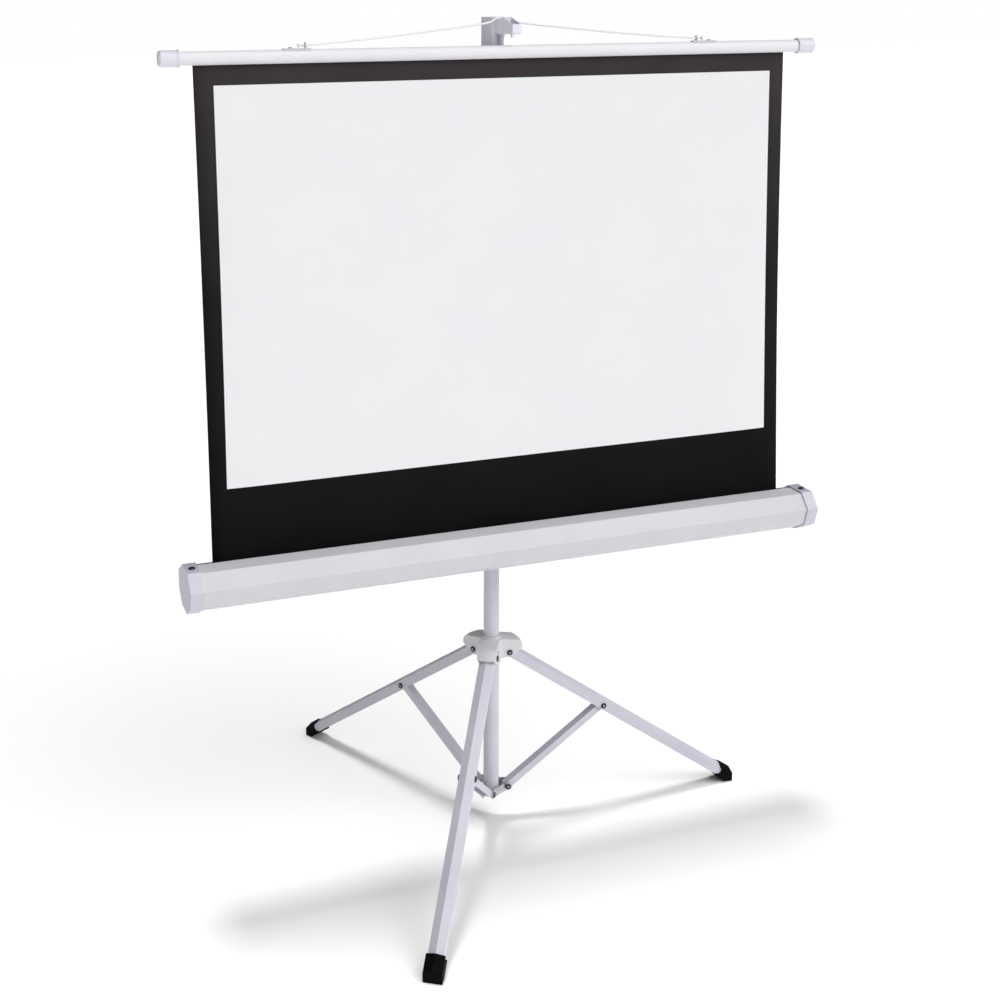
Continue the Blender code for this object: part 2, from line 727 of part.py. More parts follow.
def build_bracket(mast, steel):
    """Stamped foot bracket: floor plate and three bent strips that end in pairs of ears."""
    floor_low = BRACKET_PIVOT_Z - BRACKET_EAR_REACH
    floor_top = floor_low + BRACKET_SHEET
    ear_middle = BRACE_WIDTH / 2 + SIDE_PLAY + BRACKET_SHEET / 2
    half_step = ARM_STEP / 2
    bend = (BRACKET_STRIP_DISTANCE - ear_middle * math.sin(half_step)) / math.cos(half_step)
    plate = []
    for azimuth in ARM_AZIMUTHS:
        for side in (-1, 1):
            across = side * (ear_middle + BRACKET_SHEET * 0.3)
            plate.append((bend * math.cos(azimuth) - across * math.sin(azimuth),
                          bend * math.sin(azimuth) + across * math.cos(azimuth)))
    bracket = piece("foot_bracket", prism([plate], floor_low, floor_top), steel, mast)
    ear_end = PIVOT_RADIUS + BRACKET_EAR_REACH
    for azimuth in ARM_AZIMUTHS:
        path = []
        for along, across, turn in ((ear_end, ear_middle, azimuth), (bend, ear_middle, azimuth),
                                    (bend, -ear_middle, azimuth + ARM_STEP),
                                    (ear_end, -ear_middle, azimuth + ARM_STEP)):
            path.append((along * math.cos(turn) - across * math.sin(turn),
                         along * math.sin(turn) + across * math.cos(turn)))
        strip = prism([ribbon(path, BRACKET_SHEET)], floor_low + BRACKET_SHEET * 0.3,
                      BRACKET_PIVOT_Z + BRACKET_EAR_REACH)
        combine(bracket, strip, "UNION")
    ear_side = ear_middle + BRACKET_SHEET
    corners = round_arms(lambda: prism([ear_corners()], -ear_side, ear_side, "y"))
    combine(bracket, join(corners), "DIFFERENCE")
    pin = RIVET_RADIUS + PIN_GAP
    holes = round_arms(lambda: cross_hole(pin, ear_middle * 2, PIVOT_RADIUS, BRACKET_PIVOT_Z))
    bolt_hole = prism([circle(BOLT_RADIUS + PIN_GAP, SMALL_STEPS)], floor_low - 0.01, floor_top + 0.01)
    combine(bracket, join(holes + [bolt_hole]), "DIFFERENCE")

    bolt = headed_screw(BOLT_RADIUS, BOLT_HEAD_RADIUS, BOLT_HEAD_HEIGHT, BOLT_LENGTH, "z")
    piece("foot_bolt", bolt, steel, mast, (0.0, 0.0, floor_low - SEAT_GAP), (math.pi, 0.0, 0.0))


def build_mast(mast, paint, plastic, dark):
    foot = BRACKET_PIVOT_Z - BRACKET_EAR_REACH + BRACKET_SHEET + SEAT_GAP
    inner = MAST_RADIUS - MAST_WALL
    piece("mast_tube", prism([circle(MAST_RADIUS), circle(inner)], foot, MAST_TOP_Z), paint, mast)
    bolt_bore = BOLT_RADIUS + PIN_GAP
    plug_top = foot + PLUG_LENGTH
    bore_top = foot + BOLT_LENGTH
    plug = [(0.0, bore_top), (bolt_bore, bore_top), (bolt_bore, foot), (inner - SEAT_GAP, foot),
            (inner - SEAT_GAP, plug_top), (0.0, plug_top)]
    piece("mast_plug", turned(plug, "z", HIDDEN_STEPS), dark, mast)

    hook_bore_top = HOOK_BASE_Z + HOOK_BORE_DEPTH
    core = EXTENSION_RADIUS - EXTENSION_WALL
    piece("extension_tube",
          prism([circle(EXTENSION_RADIUS), circle(core)], EXTENSION_BOTTOM_Z, hook_bore_top - SEAT_GAP),
          paint, mast)
    bushing = [circle(inner - SLIDE_GAP), circle(EXTENSION_RADIUS + SEAT_GAP)]
    piece("extension_bushing",
          prism(bushing, EXTENSION_BOTTOM_Z, EXTENSION_BOTTOM_Z + BUSHING_LENGTH), dark, mast)

    skirt = MAST_RADIUS + SEAT_GAP
    neck = EXTENSION_RADIUS + SLIDE_GAP
    outer = skirt + COLLAR_WALL
    head_low = MAST_TOP_Z + SEAT_GAP
    head_top = MAST_TOP_Z + COLLAR_HEAD
    ring = [(skirt, MAST_TOP_Z - COLLAR_SKIRT), (outer, MAST_TOP_Z - COLLAR_SKIRT),
            (outer, head_top - COLLAR_CHAMFER), (outer - COLLAR_CHAMFER, head_top),
            (neck, head_top), (neck, head_low), (skirt, head_low)]
    collar = piece("lock_collar", turned(ring), plastic, mast)
    knob_z = MAST_TOP_Z + COLLAR_HEAD * 0.5
    add_knob(mast, collar, "lock_knob", outer, neck, knob_z, dark)


def add_knob(mast, holder, name, surface, tip, height, dark):
    """Screw boss on the back of a clamp and the thumb knob in it."""
    boss_end = surface + KNOB_BOSS_LENGTH
    boss = prism([circle(KNOB_BOSS_RADIUS, 24, (0.0, height))], surface - 0.0025, boss_end, "y")
    combine(holder, boss, "UNION")
    hole = prism([circle(KNOB_SHAFT_RADIUS + PIN_GAP, SMALL_STEPS, (0.0, height))],
                 tip - 0.0015, boss_end + 0.01, "y")
    combine(holder, hole, "DIFFERENCE")
    steps = KNOB_LOBES * 6
    grip = []
    for index in range(steps):
        turn = 2 * math.pi * index / steps
        radius = KNOB_RADIUS - KNOB_FLUTE * (1 - math.cos(KNOB_LOBES * turn)) / 2
        grip.append((radius * math.cos(turn), radius * math.sin(turn)))
    start = boss_end + SEAT_GAP
    knob = piece(name, prism([grip], start, start + KNOB_LENGTH, "y"), dark, mast, (0.0, 0.0, height))
    shaft = prism([circle(KNOB_SHAFT_RADIUS, SMALL_STEPS)], tip, start + KNOB_LENGTH * 0.4, "y")
    combine(knob, shaft, "UNION")


def build_hook(mast, plastic):
    """Top head: socket block on the extension and a notched arm that the cord hangs in.

    Local frame: the arm points along -y and is turned about the mast toward the screen's middle.
    """
    top = HOOK_HEIGHT
    back = -HOOK_BLOCK_DEPTH / 2
    front = HOOK_BLOCK_DEPTH / 2
    half = HOOK_BLOCK_WIDTH / 2
    block = []
    corner = HOOK_BLOCK_CORNER
    for x_sign, y_sign, start in ((1, 1, 0.0), (-1, 1, 90.0), (-1, -1, 180.0), (1, -1, 270.0)):
        for index in range(5):
            turn = math.radians(start + index * 22.5)
            block.append((x_sign * (half - corner) + corner * math.cos(turn),
                          y_sign * (front - corner) + corner * math.sin(turn)))
    hook = piece("hook_head", prism([block], 0.0, top), plastic, mast, (0.0, 0.0, HOOK_BASE_Z),
                 (0.0, 0.0, HOOK_TURN))
    notch_low = top - HOOK_NOTCH_DEPTH
    notch_half = HOOK_NOTCH_HALF_WIDTH
    reach = HOOK_ARM_REACH
    nose_top = top - HOOK_NOSE_DROP
    under = HOOK_ARM_UNDERSIDE
    notch = HOOK_NOTCH_REACH
    peak = HOOK_PEAK_REACH
    side = [(back + 0.004, under), (reach - 0.0016, under),
            (reach, under + 0.0018), (reach, nose_top), (peak, top + 0.0002),
            (notch + notch_half, top - 0.0010),
            (notch + CORD_RADIUS, notch_low), (notch - CORD_RADIUS, notch_low),
            (notch - notch_half, top - 0.0006), (back + 0.004, top - 0.0006)]
    arm_half = HOOK_ARM_WIDTH / 2
    nib = [(reach - HOOK_NIB_LENGTH, under + 0.001),
           (reach - HOOK_NIB_LENGTH * 0.6, under - HOOK_NIB_DEPTH),
           (reach - 0.0012, under - HOOK_NIB_DEPTH), (reach - 0.0020, under + 0.001)]
    nib_start = SEAT_GAP - arm_half
    post_start = front + HOOK_POST_GAP
    post_end = post_start + HOOK_POST_DEPTH
    post = [(post_start, HOOK_POST_FOOT), (post_end, HOOK_POST_FOOT), (post_end + 0.0004, under - 0.007),
            (post_end + 0.0040, under + 0.001), (post_start, under + 0.001)]
    post_half = HOOK_POST_WIDTH / 2
    pocket_half = arm_half - HOOK_CHEEK
    pocket = rectangle(peak + HOOK_CHEEK, reach - HOOK_CHEEK, HOOK_POCKET_FLOOR, top + 0.01)
    for outline, low, high, operation in (
            (side, -arm_half, arm_half, "UNION"),
            (nib, nib_start, nib_start + HOOK_NIB_WIDTH, "UNION"),
            (post, -post_half, post_half, "UNION"),
            (pocket, -pocket_half, pocket_half, "DIFFERENCE")):
        solid = prism([outline], low, high, "y")
        solid.transform(Matrix.Rotation(-math.pi / 2, 4, "Z"))
        combine(hook, solid, operation)
    bore = prism([circle(EXTENSION_RADIUS + SEAT_GAP)], -0.01, HOOK_BORE_DEPTH)
    combine(hook, bore, "DIFFERENCE")


def build_bar(bar, paint, plastic, steel):
    inner = BAR_RADIUS - BAR_WALL
    slot_turn = math.asin(BAR_SLOT / 2 / BAR_RADIUS)
    steps = 30
    ring = []
    for radius, order in ((BAR_RADIUS, 1), (inner, -1)):
        turns = [-math.pi / 2 + slot_turn + (2 * math.pi - 2 * slot_turn) * index / steps
                 for index in range(steps + 1)]
        arc = [(radius * math.cos(turn), radius * math.sin(turn)) for turn in turns]
        ring += arc[::order]
    tube_half = BAR_HALF_LENGTH - BAR_CAP_END - SEAT_GAP
    tube = piece("top_bar", prism([ring], -tube_half, tube_half, "x"), paint, bar)
    saddle_in = BAR_RADIUS + SEAT_GAP
    saddle_top = saddle_in + CLIP_SHEET
    rivet_length = saddle_top + SEAT_GAP - inner + 0.002
    for name, side in (("left", -1), ("right", 1)):
        rivet_x = side * (CLIP_X + CLIP_RIVET_INSET)
        hole = prism([circle(CLIP_RIVET_RADIUS + PIN_GAP, 12, (rivet_x, 0.0))], inner * 0.5,
                     saddle_top + 0.01)
        combine(tube, hole, "DIFFERENCE")

        length = BAR_CAP_LENGTH
        rim = BAR_CAP_RADIUS + BAR_CAP_RIM
        rim_start = length - BAR_CAP_RIM_LENGTH
        profile = [(0.0, 0.0), (BAR_CAP_RADIUS - BAR_CAP_CHAMFER, 0.0),
                   (BAR_CAP_RADIUS, BAR_CAP_CHAMFER), (BAR_CAP_RADIUS, rim_start), (rim, rim_start),
                   (rim, length), (saddle_in, length), (saddle_in, BAR_CAP_END), (0.0, BAR_CAP_END)]
        turn_z = 0.0 if side < 0 else math.pi
        piece("bar_cap_" + name, turned(profile, "x"), plastic, bar,
              (side * BAR_HALF_LENGTH, 0.0, 0.0), (0.0, 0.0, turn_z))

        arc = []
        middle = saddle_in + CLIP_SHEET / 2
        for index in range(9):
            turn = math.pi / 2 + CLIP_HALF_ANGLE * (index / 4 - 1)
            arc.append((middle * math.cos(turn), middle * math.sin(turn)))
        clip = piece("cord_clip_" + name,
                     prism([ribbon(arc, CLIP_SHEET)], -CLIP_LENGTH / 2, CLIP_LENGTH / 2, "x"),
                     steel, bar, (side * CLIP_X, 0.0, 0.0))
        eye = turned([(CLIP_EYE_RADIUS + place[0], place[1])
                      for place in circle(CLIP_EYE_WIRE, 8)], "x", 14)
        eye_x = -side * (CLIP_LENGTH / 2 - CLIP_EYE_INSET)
        combine(clip, moved(eye, (eye_x, 0.0, clip_eye_height())), "UNION")
        clip_hole = prism([circle(CLIP_RIVET_RADIUS + PIN_GAP, 12, (side * CLIP_RIVET_INSET, 0.0))],
                          inner, saddle_top + 0.01)
        combine(clip, clip_hole, "DIFFERENCE")
        piece("clip_rivet_" + name,
              headed_screw(CLIP_RIVET_RADIUS, CLIP_RIVET_HEAD, 0.0012, rivet_length, "z"),
              steel, bar, (rivet_x, 0.0, saddle_top + SEAT_GAP))
    rod_half = FABRIC_WIDTH / 2
    piece("hem_rod", prism([circle(HEM_ROD_RADIUS, SMALL_STEPS)], -rod_half, rod_half, "x"), steel, bar)


def clip_eye_height():
    saddle_top = BAR_RADIUS + SEAT_GAP + CLIP_SHEET
    return saddle_top - CLIP_EYE_BITE + CLIP_EYE_RADIUS + CLIP_EYE_WIRE


def build_cord(cord_material):
    """Pull cord from clip eye to clip eye, through the notch of the hook."""
    eye_x = CLIP_X - CLIP_LENGTH / 2 + CLIP_EYE_INSET
    eye_z = BAR_Z + clip_eye_height()
    bar_y = MAST_Y + BAR_OFFSET_Y
    notch_x = MAST_X + HOOK_NOTCH_REACH * math.sin(HOOK_TURN)
    notch_y = MAST_Y - HOOK_NOTCH_REACH * math.cos(HOOK_TURN)
    notch_z = HOOK_BASE_Z + HOOK_HEIGHT - HOOK_NOTCH_DEPTH + CORD_RADIUS + SEAT_GAP
    edge = HOOK_ARM_WIDTH / 2 + CORD_RADIUS + CORD_STEP * 0.4
    over_x = edge * math.cos(HOOK_TURN)
    over_y = edge * math.sin(HOOK_TURN)

    def run(side):
        start = (side * (eye_x - 0.006), bar_y, eye_z)
        edge_place = (notch_x + side * over_x, notch_y + side * over_y, notch_z)
        bend = (edge_place[0] + side * CORD_BEND_RUN, edge_place[1], notch_z - CORD_BEND_DROP)
        points = [(side * (eye_x + CORD_TAIL), bar_y, eye_z), start]
        for share in (0.35, 0.7):
            place = [a + (b - a) * share for a, b in zip(start, bend)]
            place[2] -= CORD_SAG * math.sin(math.pi * share)
            points.append(tuple(place))
        points += [bend, edge_place]
        return points

    route = run(-1) + [(notch_x, notch_y, notch_z)] + run(1)[::-1]
    curve = wire(smooth_route(route, CORD_STEP), CORD_RADIUS, 1)
    piece("pull_cord", evaluated_mesh(curve), cord_material)


def build_fabric(fabric):
    foot_y = MAST_Y + FABRIC_FOOT_OFFSET_Y
    top_y = MAST_Y + BAR_OFFSET_Y
    top_z = BAR_Z - HEM_ROD_RADIUS - SEAT_GAP
    height = top_z - CASE_Z
    tilt = math.atan2(top_y - foot_y, height)
    length = height / math.cos(tilt)
    work = bmesh.new()
    bmesh.ops.create_cube(work, size=1.0)
    bmesh.ops.translate(work, verts=work.verts, vec=(0.0, 0.0, 0.5))
    bmesh.ops.scale(work, verts=work.verts, vec=(FABRIC_WIDTH, FABRIC_THICKNESS, length))
    mesh = bpy.data.meshes.new("fabric")
    work.to_mesh(mesh)
    work.free()
    piece("screen_fabric", mesh, fabric, None, (0.0, foot_y, CASE_Z), (-tilt, 0.0, 0.0))


def build_case(case, paint, plastic, steel, dark, fabric):
    corners = grown(case_outline(), -CASE_WALL / 2)
    path = [(slot_place() - CASE_SLOT_LIP, corners[0][1])] + corners[1:] + [corners[0]]
    shell_half = CASE_HALF_LENGTH - CAP_END - SEAT_GAP
    shell = piece("case_shell", prism([ribbon(path, CASE_WALL)], -shell_half, shell_half, "x"),
                  paint, case)
    screw_x = CASE_HALF_LENGTH - CAP_SCREW_INSET
    cap_top = CASE_ROOF + SEAT_GAP + CAP_WALL

    def screw_hole(side):
        return prism([circle(SCREW_RADIUS + PIN_GAP, 12, (side * screw_x, CAP_SCREW_OFFSET_Y))],
                     CASE_ROOF - CASE_WALL - 0.001, cap_top + 0.005)

    mount_holes = []
    for side in (-1, 1):
        mount_holes.append(prism([circle(SCREW_RADIUS + PIN_GAP, 12,
                                         (MAST_X + side * CARRIAGE_SCREW_X, 0.0))],
                                 CASE_BACK - CASE_WALL - 0.001, CASE_BACK + 0.01, "y"))
    combine(shell, join([screw_hole(-1), screw_hole(1)] + mount_holes), "DIFFERENCE")

    for name, side in (("left", -1), ("right", 1)):
        outer = side * CASE_HALF_LENGTH
        inner = side * (CASE_HALF_LENGTH - CAP_END)
        rim = side * (CASE_HALF_LENGTH - CAP_LENGTH)
        outside = grown(case_outline(), SEAT_GAP + CAP_WALL)
        inside = grown(case_outline(), SEAT_GAP)
        cap = piece("end_cap_" + name, prism([outside], rim, outer, "x"), plastic, case)
        combine(cap, prism([inside], rim - side * 0.002, inner, "x"), "DIFFERENCE")
        boss = prism([circle(CAP_BOSS_RADIUS, 24)], inner - side * CAP_BOSS_LENGTH,
                     inner + side * CAP_END * 0.5, "x")
        combine(cap, boss, "UNION")
        bore_end = outer - side * CAP_BORE_FLOOR
        bore = prism([circle(SPINDLE_RADIUS + PIN_GAP, SMALL_STEPS)],
                     inner - side * (CAP_BOSS_LENGTH + 0.002), bore_end, "x")
        combine(cap, join([bore, screw_hole(side)]), "DIFFERENCE")
        piece("cap_screw_" + name,
              headed_screw(SCREW_RADIUS, SCREW_HEAD_RADIUS, SCREW_HEAD_HEIGHT, SCREW_LENGTH, "z"),
              dark, case, (side * screw_x, CAP_SCREW_OFFSET_Y, cap_top + SEAT_GAP))

        spindle_out = bore_end - side * SEAT_GAP
        reach = SPINDLE_LONG if side < 0 else SPINDLE_SHORT
        piece("spindle_" + name,
              prism([circle(SPINDLE_RADIUS, SMALL_STEPS)], spindle_out, spindle_out - side * reach, "x"),
              steel, case)

        plug_radius = ROLLER_RADIUS - ROLLER_WALL - SEAT_GAP
        plug_bore = SPINDLE_RADIUS + SLIDE_GAP
        seat = ROLLER_HALF_LENGTH + SEAT_GAP
        plug = [(plug_bore, ROLLER_HALF_LENGTH - ROLLER_PLUG_LENGTH),
                (plug_radius, ROLLER_HALF_LENGTH - ROLLER_PLUG_LENGTH), (plug_radius, seat),
                (ROLLER_RADIUS, seat), (ROLLER_RADIUS, seat + ROLLER_PLUG_FLANGE),
                (plug_bore, seat + ROLLER_PLUG_FLANGE)]
        turn_z = math.pi if side < 0 else 0.0
        piece("roller_plug_" + name, turned(plug, "x", HIDDEN_STEPS), dark, case, (0.0, 0.0, 0.0),
              (0.0, 0.0, turn_z))

    half = ROLLER_HALF_LENGTH
    tube = [circle(ROLLER_RADIUS, HIDDEN_STEPS), circle(ROLLER_RADIUS - ROLLER_WALL, HIDDEN_STEPS)]
    piece("roller_tube", prism(tube, -half, half, "x"), steel, case)
    roll_half = FABRIC_WIDTH / 2
    roll = [circle(ROLL_RADIUS, HIDDEN_STEPS), circle(ROLLER_RADIUS + SEAT_GAP, HIDDEN_STEPS)]
    piece("fabric_roll", prism(roll, -roll_half, roll_half, "x"), fabric, case)
    coil = SPINDLE_RADIUS + SEAT_GAP + SPRING_WIRE * 1.15
    start = -ROLLER_HALF_LENGTH + ROLLER_PLUG_LENGTH + 0.002
    count = SPRING_TURNS * SPRING_STEPS
    helix = []
    for index in range(count + 1):
        turn = 2 * math.pi * index / SPRING_STEPS
        helix.append((start + SPRING_LENGTH * index / count, coil * math.cos(turn) * 1.06,
                      coil * math.sin(turn) * 1.06))
    piece("roller_spring", evaluated_mesh(wire(helix, SPRING_WIRE, 0)), steel, case)


def build_carriage(mast, plastic, steel, dark):
    bore = MAST_RADIUS + SEAT_GAP
    outer = bore + CARRIAGE_WALL
    low = CASE_Z - CARRIAGE_HEIGHT / 2
    high = CASE_Z + CARRIAGE_HEIGHT / 2
    carriage = piece("case_carriage", prism([circle(outer)], low, high), plastic, mast)
    plate_front = CASE_OFFSET_Y + CASE_BACK + SEAT_GAP
    plate_back = plate_front + CARRIAGE_PLATE
    web_half = CARRIAGE_WEB / 2
    half = CARRIAGE_PLATE_WIDTH / 2
    tee = [(-half, plate_front), (half, plate_front), (half, plate_back), (web_half, plate_back),
           (web_half, -bore * 0.6), (-web_half, -bore * 0.6), (-web_half, plate_back),
           (-half, plate_back)]
    combine(carriage, prism([tee], CASE_Z - CARRIAGE_PLATE_HEIGHT / 2,
                            CASE_Z + CARRIAGE_PLATE_HEIGHT / 2), "UNION")
    combine(carriage, prism([circle(bore)], low - 0.01, high + 0.01), "DIFFERENCE")
    holes = []
    for side in (-1, 1):
        holes.append(prism([circle(SCREW_RADIUS + PIN_GAP, 12, (side * CARRIAGE_SCREW_X, CASE_Z))],
                           plate_front - 0.001, plate_back + 0.001, "y"))
    combine(carriage, join(holes), "DIFFERENCE")
    for name, side in (("left", -1), ("right", 1)):
        piece("carriage_screw_" + name,
              headed_screw(SCREW_RADIUS, SCREW_HEAD_RADIUS, SCREW_HEAD_HEIGHT,
                           CARRIAGE_SCREW_LENGTH, "y"), steel, mast,
              (side * CARRIAGE_SCREW_X, plate_back + SEAT_GAP, CASE_Z))
    add_knob(mast, carriage, "carriage_knob", outer, bore, CASE_Z, dark)


clear_scene()
PARTS = new_collection("tripod_projection_screen")
TOOLS = new_collection("helper_solids")
ARM_AZIMUTHS = [FRONT_ARM_AZIMUTH + index * ARM_STEP for index in range(len(ARM_NAMES))]

paint = make_material("white_paint", "D9D9E2", 0.38)
plastic = make_material("white_plastic", "E0E2E4", 0.45)
steel = make_material("zinc_steel", "C4C4CA", 0.28, 1.0)
rubber = make_material("black_rubber", "17171A", 0.75)
dark = make_material("black_plastic", "202024", 0.5)
fabric = make_material("screen_cloth", "F2F2F4", 0.9)
cord = make_material("white_cord", "ECECEC", 0.85)

mast = empty("mast_axis", (MAST_X, MAST_Y, 0.0))
bar = empty("bar_axis", (0.0, MAST_Y + BAR_OFFSET_Y, BAR_Z))
case = empty("case_axis", (0.0, MAST_Y + CASE_OFFSET_Y, CASE_Z))

build_tripod(mast, paint, steel, rubber, plastic)
build_mast(mast, paint, plastic, dark)
build_hook(mast, plastic)
build_bar(bar, paint, plastic, steel)
build_cord(cord)
build_fabric(fabric)
build_case(case, paint, plastic, steel, dark, fabric)
build_carriage(mast, plastic, steel, dark)
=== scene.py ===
"""Dresses the tripod projection screen: cloth, cord, paint, plastic, steel, rubber and studio."""
import json
import math

import bmesh
import bpy
from bpy.props import FloatProperty, FloatVectorProperty, IntProperty, PointerProperty
from mathutils import Matrix, Vector

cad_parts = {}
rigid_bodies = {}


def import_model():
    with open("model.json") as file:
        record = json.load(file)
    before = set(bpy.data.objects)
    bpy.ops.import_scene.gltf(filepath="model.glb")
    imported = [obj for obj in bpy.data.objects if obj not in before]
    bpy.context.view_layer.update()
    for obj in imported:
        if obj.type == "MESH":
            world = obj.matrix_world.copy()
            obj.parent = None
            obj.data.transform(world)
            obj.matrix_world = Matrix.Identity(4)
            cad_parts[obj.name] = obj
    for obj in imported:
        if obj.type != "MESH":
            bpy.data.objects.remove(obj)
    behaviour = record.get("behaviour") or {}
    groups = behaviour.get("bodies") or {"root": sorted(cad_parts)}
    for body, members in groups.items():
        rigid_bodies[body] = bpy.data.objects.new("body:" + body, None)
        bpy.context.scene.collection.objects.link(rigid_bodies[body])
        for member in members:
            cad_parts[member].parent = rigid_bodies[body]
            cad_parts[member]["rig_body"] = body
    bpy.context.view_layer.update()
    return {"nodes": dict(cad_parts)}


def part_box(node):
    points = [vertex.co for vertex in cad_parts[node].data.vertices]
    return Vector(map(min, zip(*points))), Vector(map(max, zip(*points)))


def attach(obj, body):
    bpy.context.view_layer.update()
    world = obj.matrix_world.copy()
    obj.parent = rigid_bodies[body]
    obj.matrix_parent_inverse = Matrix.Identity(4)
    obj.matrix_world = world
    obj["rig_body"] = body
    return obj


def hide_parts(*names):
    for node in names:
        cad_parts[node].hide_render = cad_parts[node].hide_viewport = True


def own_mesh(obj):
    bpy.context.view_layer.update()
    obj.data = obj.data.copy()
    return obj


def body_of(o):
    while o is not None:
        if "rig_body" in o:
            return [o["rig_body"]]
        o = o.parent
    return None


bl_info = {
    "name": "Tripod projection screen",
    "version": (1, 0, 0),
    "blender": (4, 5, 0),
    "location": "3D View > Sidebar > Screen",
    "description": "Dresses a tripod pull-up projection screen and sets its studio",
    "category": "Object",
}

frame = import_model()
NODES = frame["nodes"]
LENGTH = {"subtype": "DISTANCE", "unit": "LENGTH"}

PAINTED_NODES = (
    "mast_tube", "extension_tube",
    "leg_front", "leg_right", "leg_rear", "brace_front", "brace_right", "brace_rear",
)
BRACKET_NODES = ("foot_bracket",)
CASE_NODES = ("case_shell",)
BAR_NODES = ("top_bar",)
CLIP_NODES = ("cord_clip_left", "cord_clip_right")
HUB_NODES = ("sliding_hub", "lock_collar", "case_carriage")
HOOK_NODES = ("hook_head",)
BAR_CAP_NODES = ("bar_cap_left", "bar_cap_right")
END_CAP_NODES = ("end_cap_left", "end_cap_right")
STEEL_NODES = (
    "foot_bolt", "clip_rivet_left", "clip_rivet_right", "hem_rod", "spindle_left", "spindle_right",
    "roller_tube", "roller_spring", "carriage_screw_left", "carriage_screw_right",
    "leg_rivet_front", "leg_rivet_right", "leg_rivet_rear",
    "hub_rivet_front", "hub_rivet_right", "hub_rivet_rear",
    "bracket_rivet_front", "bracket_rivet_right", "bracket_rivet_rear",
)
RUBBER_NODES = ("boot_front", "boot_right", "boot_rear")
DARK_NODES = (
    "mast_plug", "extension_bushing", "lock_knob", "carriage_knob",
    "roller_plug_left", "roller_plug_right",
)
SCREW_NODES = ("cap_screw_left", "cap_screw_right")

# Route of the pull cord, in metres: from a clip's eye, over a bend, into the notch of the hook
MAST_X = -0.0110
MAST_Y = -0.0084
HOOK_TURN = math.radians(22.0)
NOTCH_REACH = 0.0208
NOTCH_Z = 1.2496
NOTCH_EDGE = 0.0137
CORD_END_X = 0.3020
CORD_START_X = 0.2900
CORD_BEND_RUN = 0.0150
CORD_BEND_DROP = 0.0062
CORD_SAG = 0.0020
CORD_SAG_SHARES = (0.35, 0.7)
CORD_STEP = 0.0040
CORD_SIDES = 12
ROUTE_PARTS = 24
CLIP_EYE_DROP = 0.0044

# Knot behind each clip: a trefoil of thinner cord
KNOT_OFFSET = 0.0032
KNOT_STEPS = 60
KNOT_DEPTH = 0.00085
KNOT_SIZE = 0.00062
KNOT_CORD_SHARE = 0.85
KNOT_SIDES = 10

# Cloth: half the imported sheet's thickness, its grid, the share of its half width where it curls, its bow
SHEET_HALF = 0.0004
CLOTH_COLUMNS = 24
CLOTH_ROWS = 40
CURL_FROM = 0.9
BOW_DEPTH = 0.0008
BOW_WAVES = 0.75

# Cloth on the roller: room at the tube and at the outside, steps in a turn, each about this long
ROLL_LIFT = 0.0004
ROLL_INSET = 0.0003
ROLL_STEPS = 40
ROLL_STEP_LENGTH = 0.0020
ROLL_CLOTH_SHARE = 0.8

# Rounded edges: painted sheet and tube, moulded plastic, small steel pieces, rubber
SHEET_EDGE = 0.0004
PLASTIC_EDGE = 0.0005
FINE_EDGE = 0.0002
RUBBER_EDGE = 0.0012

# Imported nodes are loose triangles: closer corners are one corner, and steeper edges are real edges
WELD_GAP = 0.00001
BEVEL_FROM = math.radians(35.0)
SHARP_FROM = math.radians(32.0)

# Rivet ends: share of a lip or pin that is sunk in the head, and how the pin narrows
SUNK_SHARE = 0.5
PIN_TAPER = 0.8

# Each arm's azimuth round the mast, and the rivets that lie across it
ARM_TURNS = {"front": math.radians(-122.4), "right": math.radians(-2.4), "rear": math.radians(117.6)}
RIVET_ROWS = ("hub_rivet_", "leg_rivet_", "bracket_rivet_")

# Directions that the light comes from: the front right, and almost straight above, a little behind
SIDE_FROM = (0.42, -0.54, 0.73)
OVERHEAD_FROM = (-0.03, 0.15, 1.0)
OVERHEAD_SOFTNESS = math.radians(13.0)
FLOOR_GREY = "E5E5E5"
FLOOR_HALF = 30.0
FLOOR_DROP = 0.0002

# Camera, solved from the corner points in the photo; lens and sensor in millimetres
CAMERA_PLACE = (-0.81995, -2.03163, 1.28768)
CAMERA_YAW = math.radians(19.36)
CAMERA_PITCH = math.radians(11.89)
CAMERA_ROLL = math.radians(-0.39)
CAMERA_LENS = 54.17
CAMERA_SENSOR = 36.0
CAMERA_SHIFT_X = 0.0706
CAMERA_SHIFT_Y = -0.1919
CAMERA_CLIP = 0.05

# Threads drawn this many mm apart; a wave texture repeats after this length divided by its scale
FRONT_THREAD = 1.78
BACK_THREAD = 2.17
WAVE_LENGTH = math.tau / 20


def linear(hex_colour):
    """sRGB hex colour as linear red, green, blue and alpha."""
    parts = [int(hex_colour[start:start + 2], 16) / 255 for start in (0, 2, 4)]
    curve = [part / 12.92 if part <= 0.04045 else ((part + 0.055) / 1.055) ** 2.4 for part in parts]
    return curve + [1.0]


def add_node(tree, kind, settings=None, values=None, links=None):
    """New node with its settings, input values and incoming links."""
    made = tree.nodes.new(kind)
    for key, value in (settings or {}).items():
        setattr(made, key, value)
    for key, value in (values or {}).items():
        made.inputs[key].default_value = value
    for key, source in (links or {}).items():
        tree.links.new(source, made.inputs[key])
    return made


def start_material(name, colour, roughness, metallic=0.0, ior=1.5):
    """Plain procedural material: itself, its tree, its shader and its texture coordinates."""
    made = bpy.data.materials.new(name)
    made.use_nodes = True
    tree = made.node_tree
    shader = tree.nodes["Principled BSDF"]
    shader.inputs["Base Color"].default_value = linear(colour)
    shader.inputs["Roughness"].default_value = roughness
    shader.inputs["Metallic"].default_value = metallic
    if metallic == 0.0:
        shader.inputs["IOR"].default_value = ior
    place = add_node(tree, "ShaderNodeTexCoord")
    return made, tree, shader, place


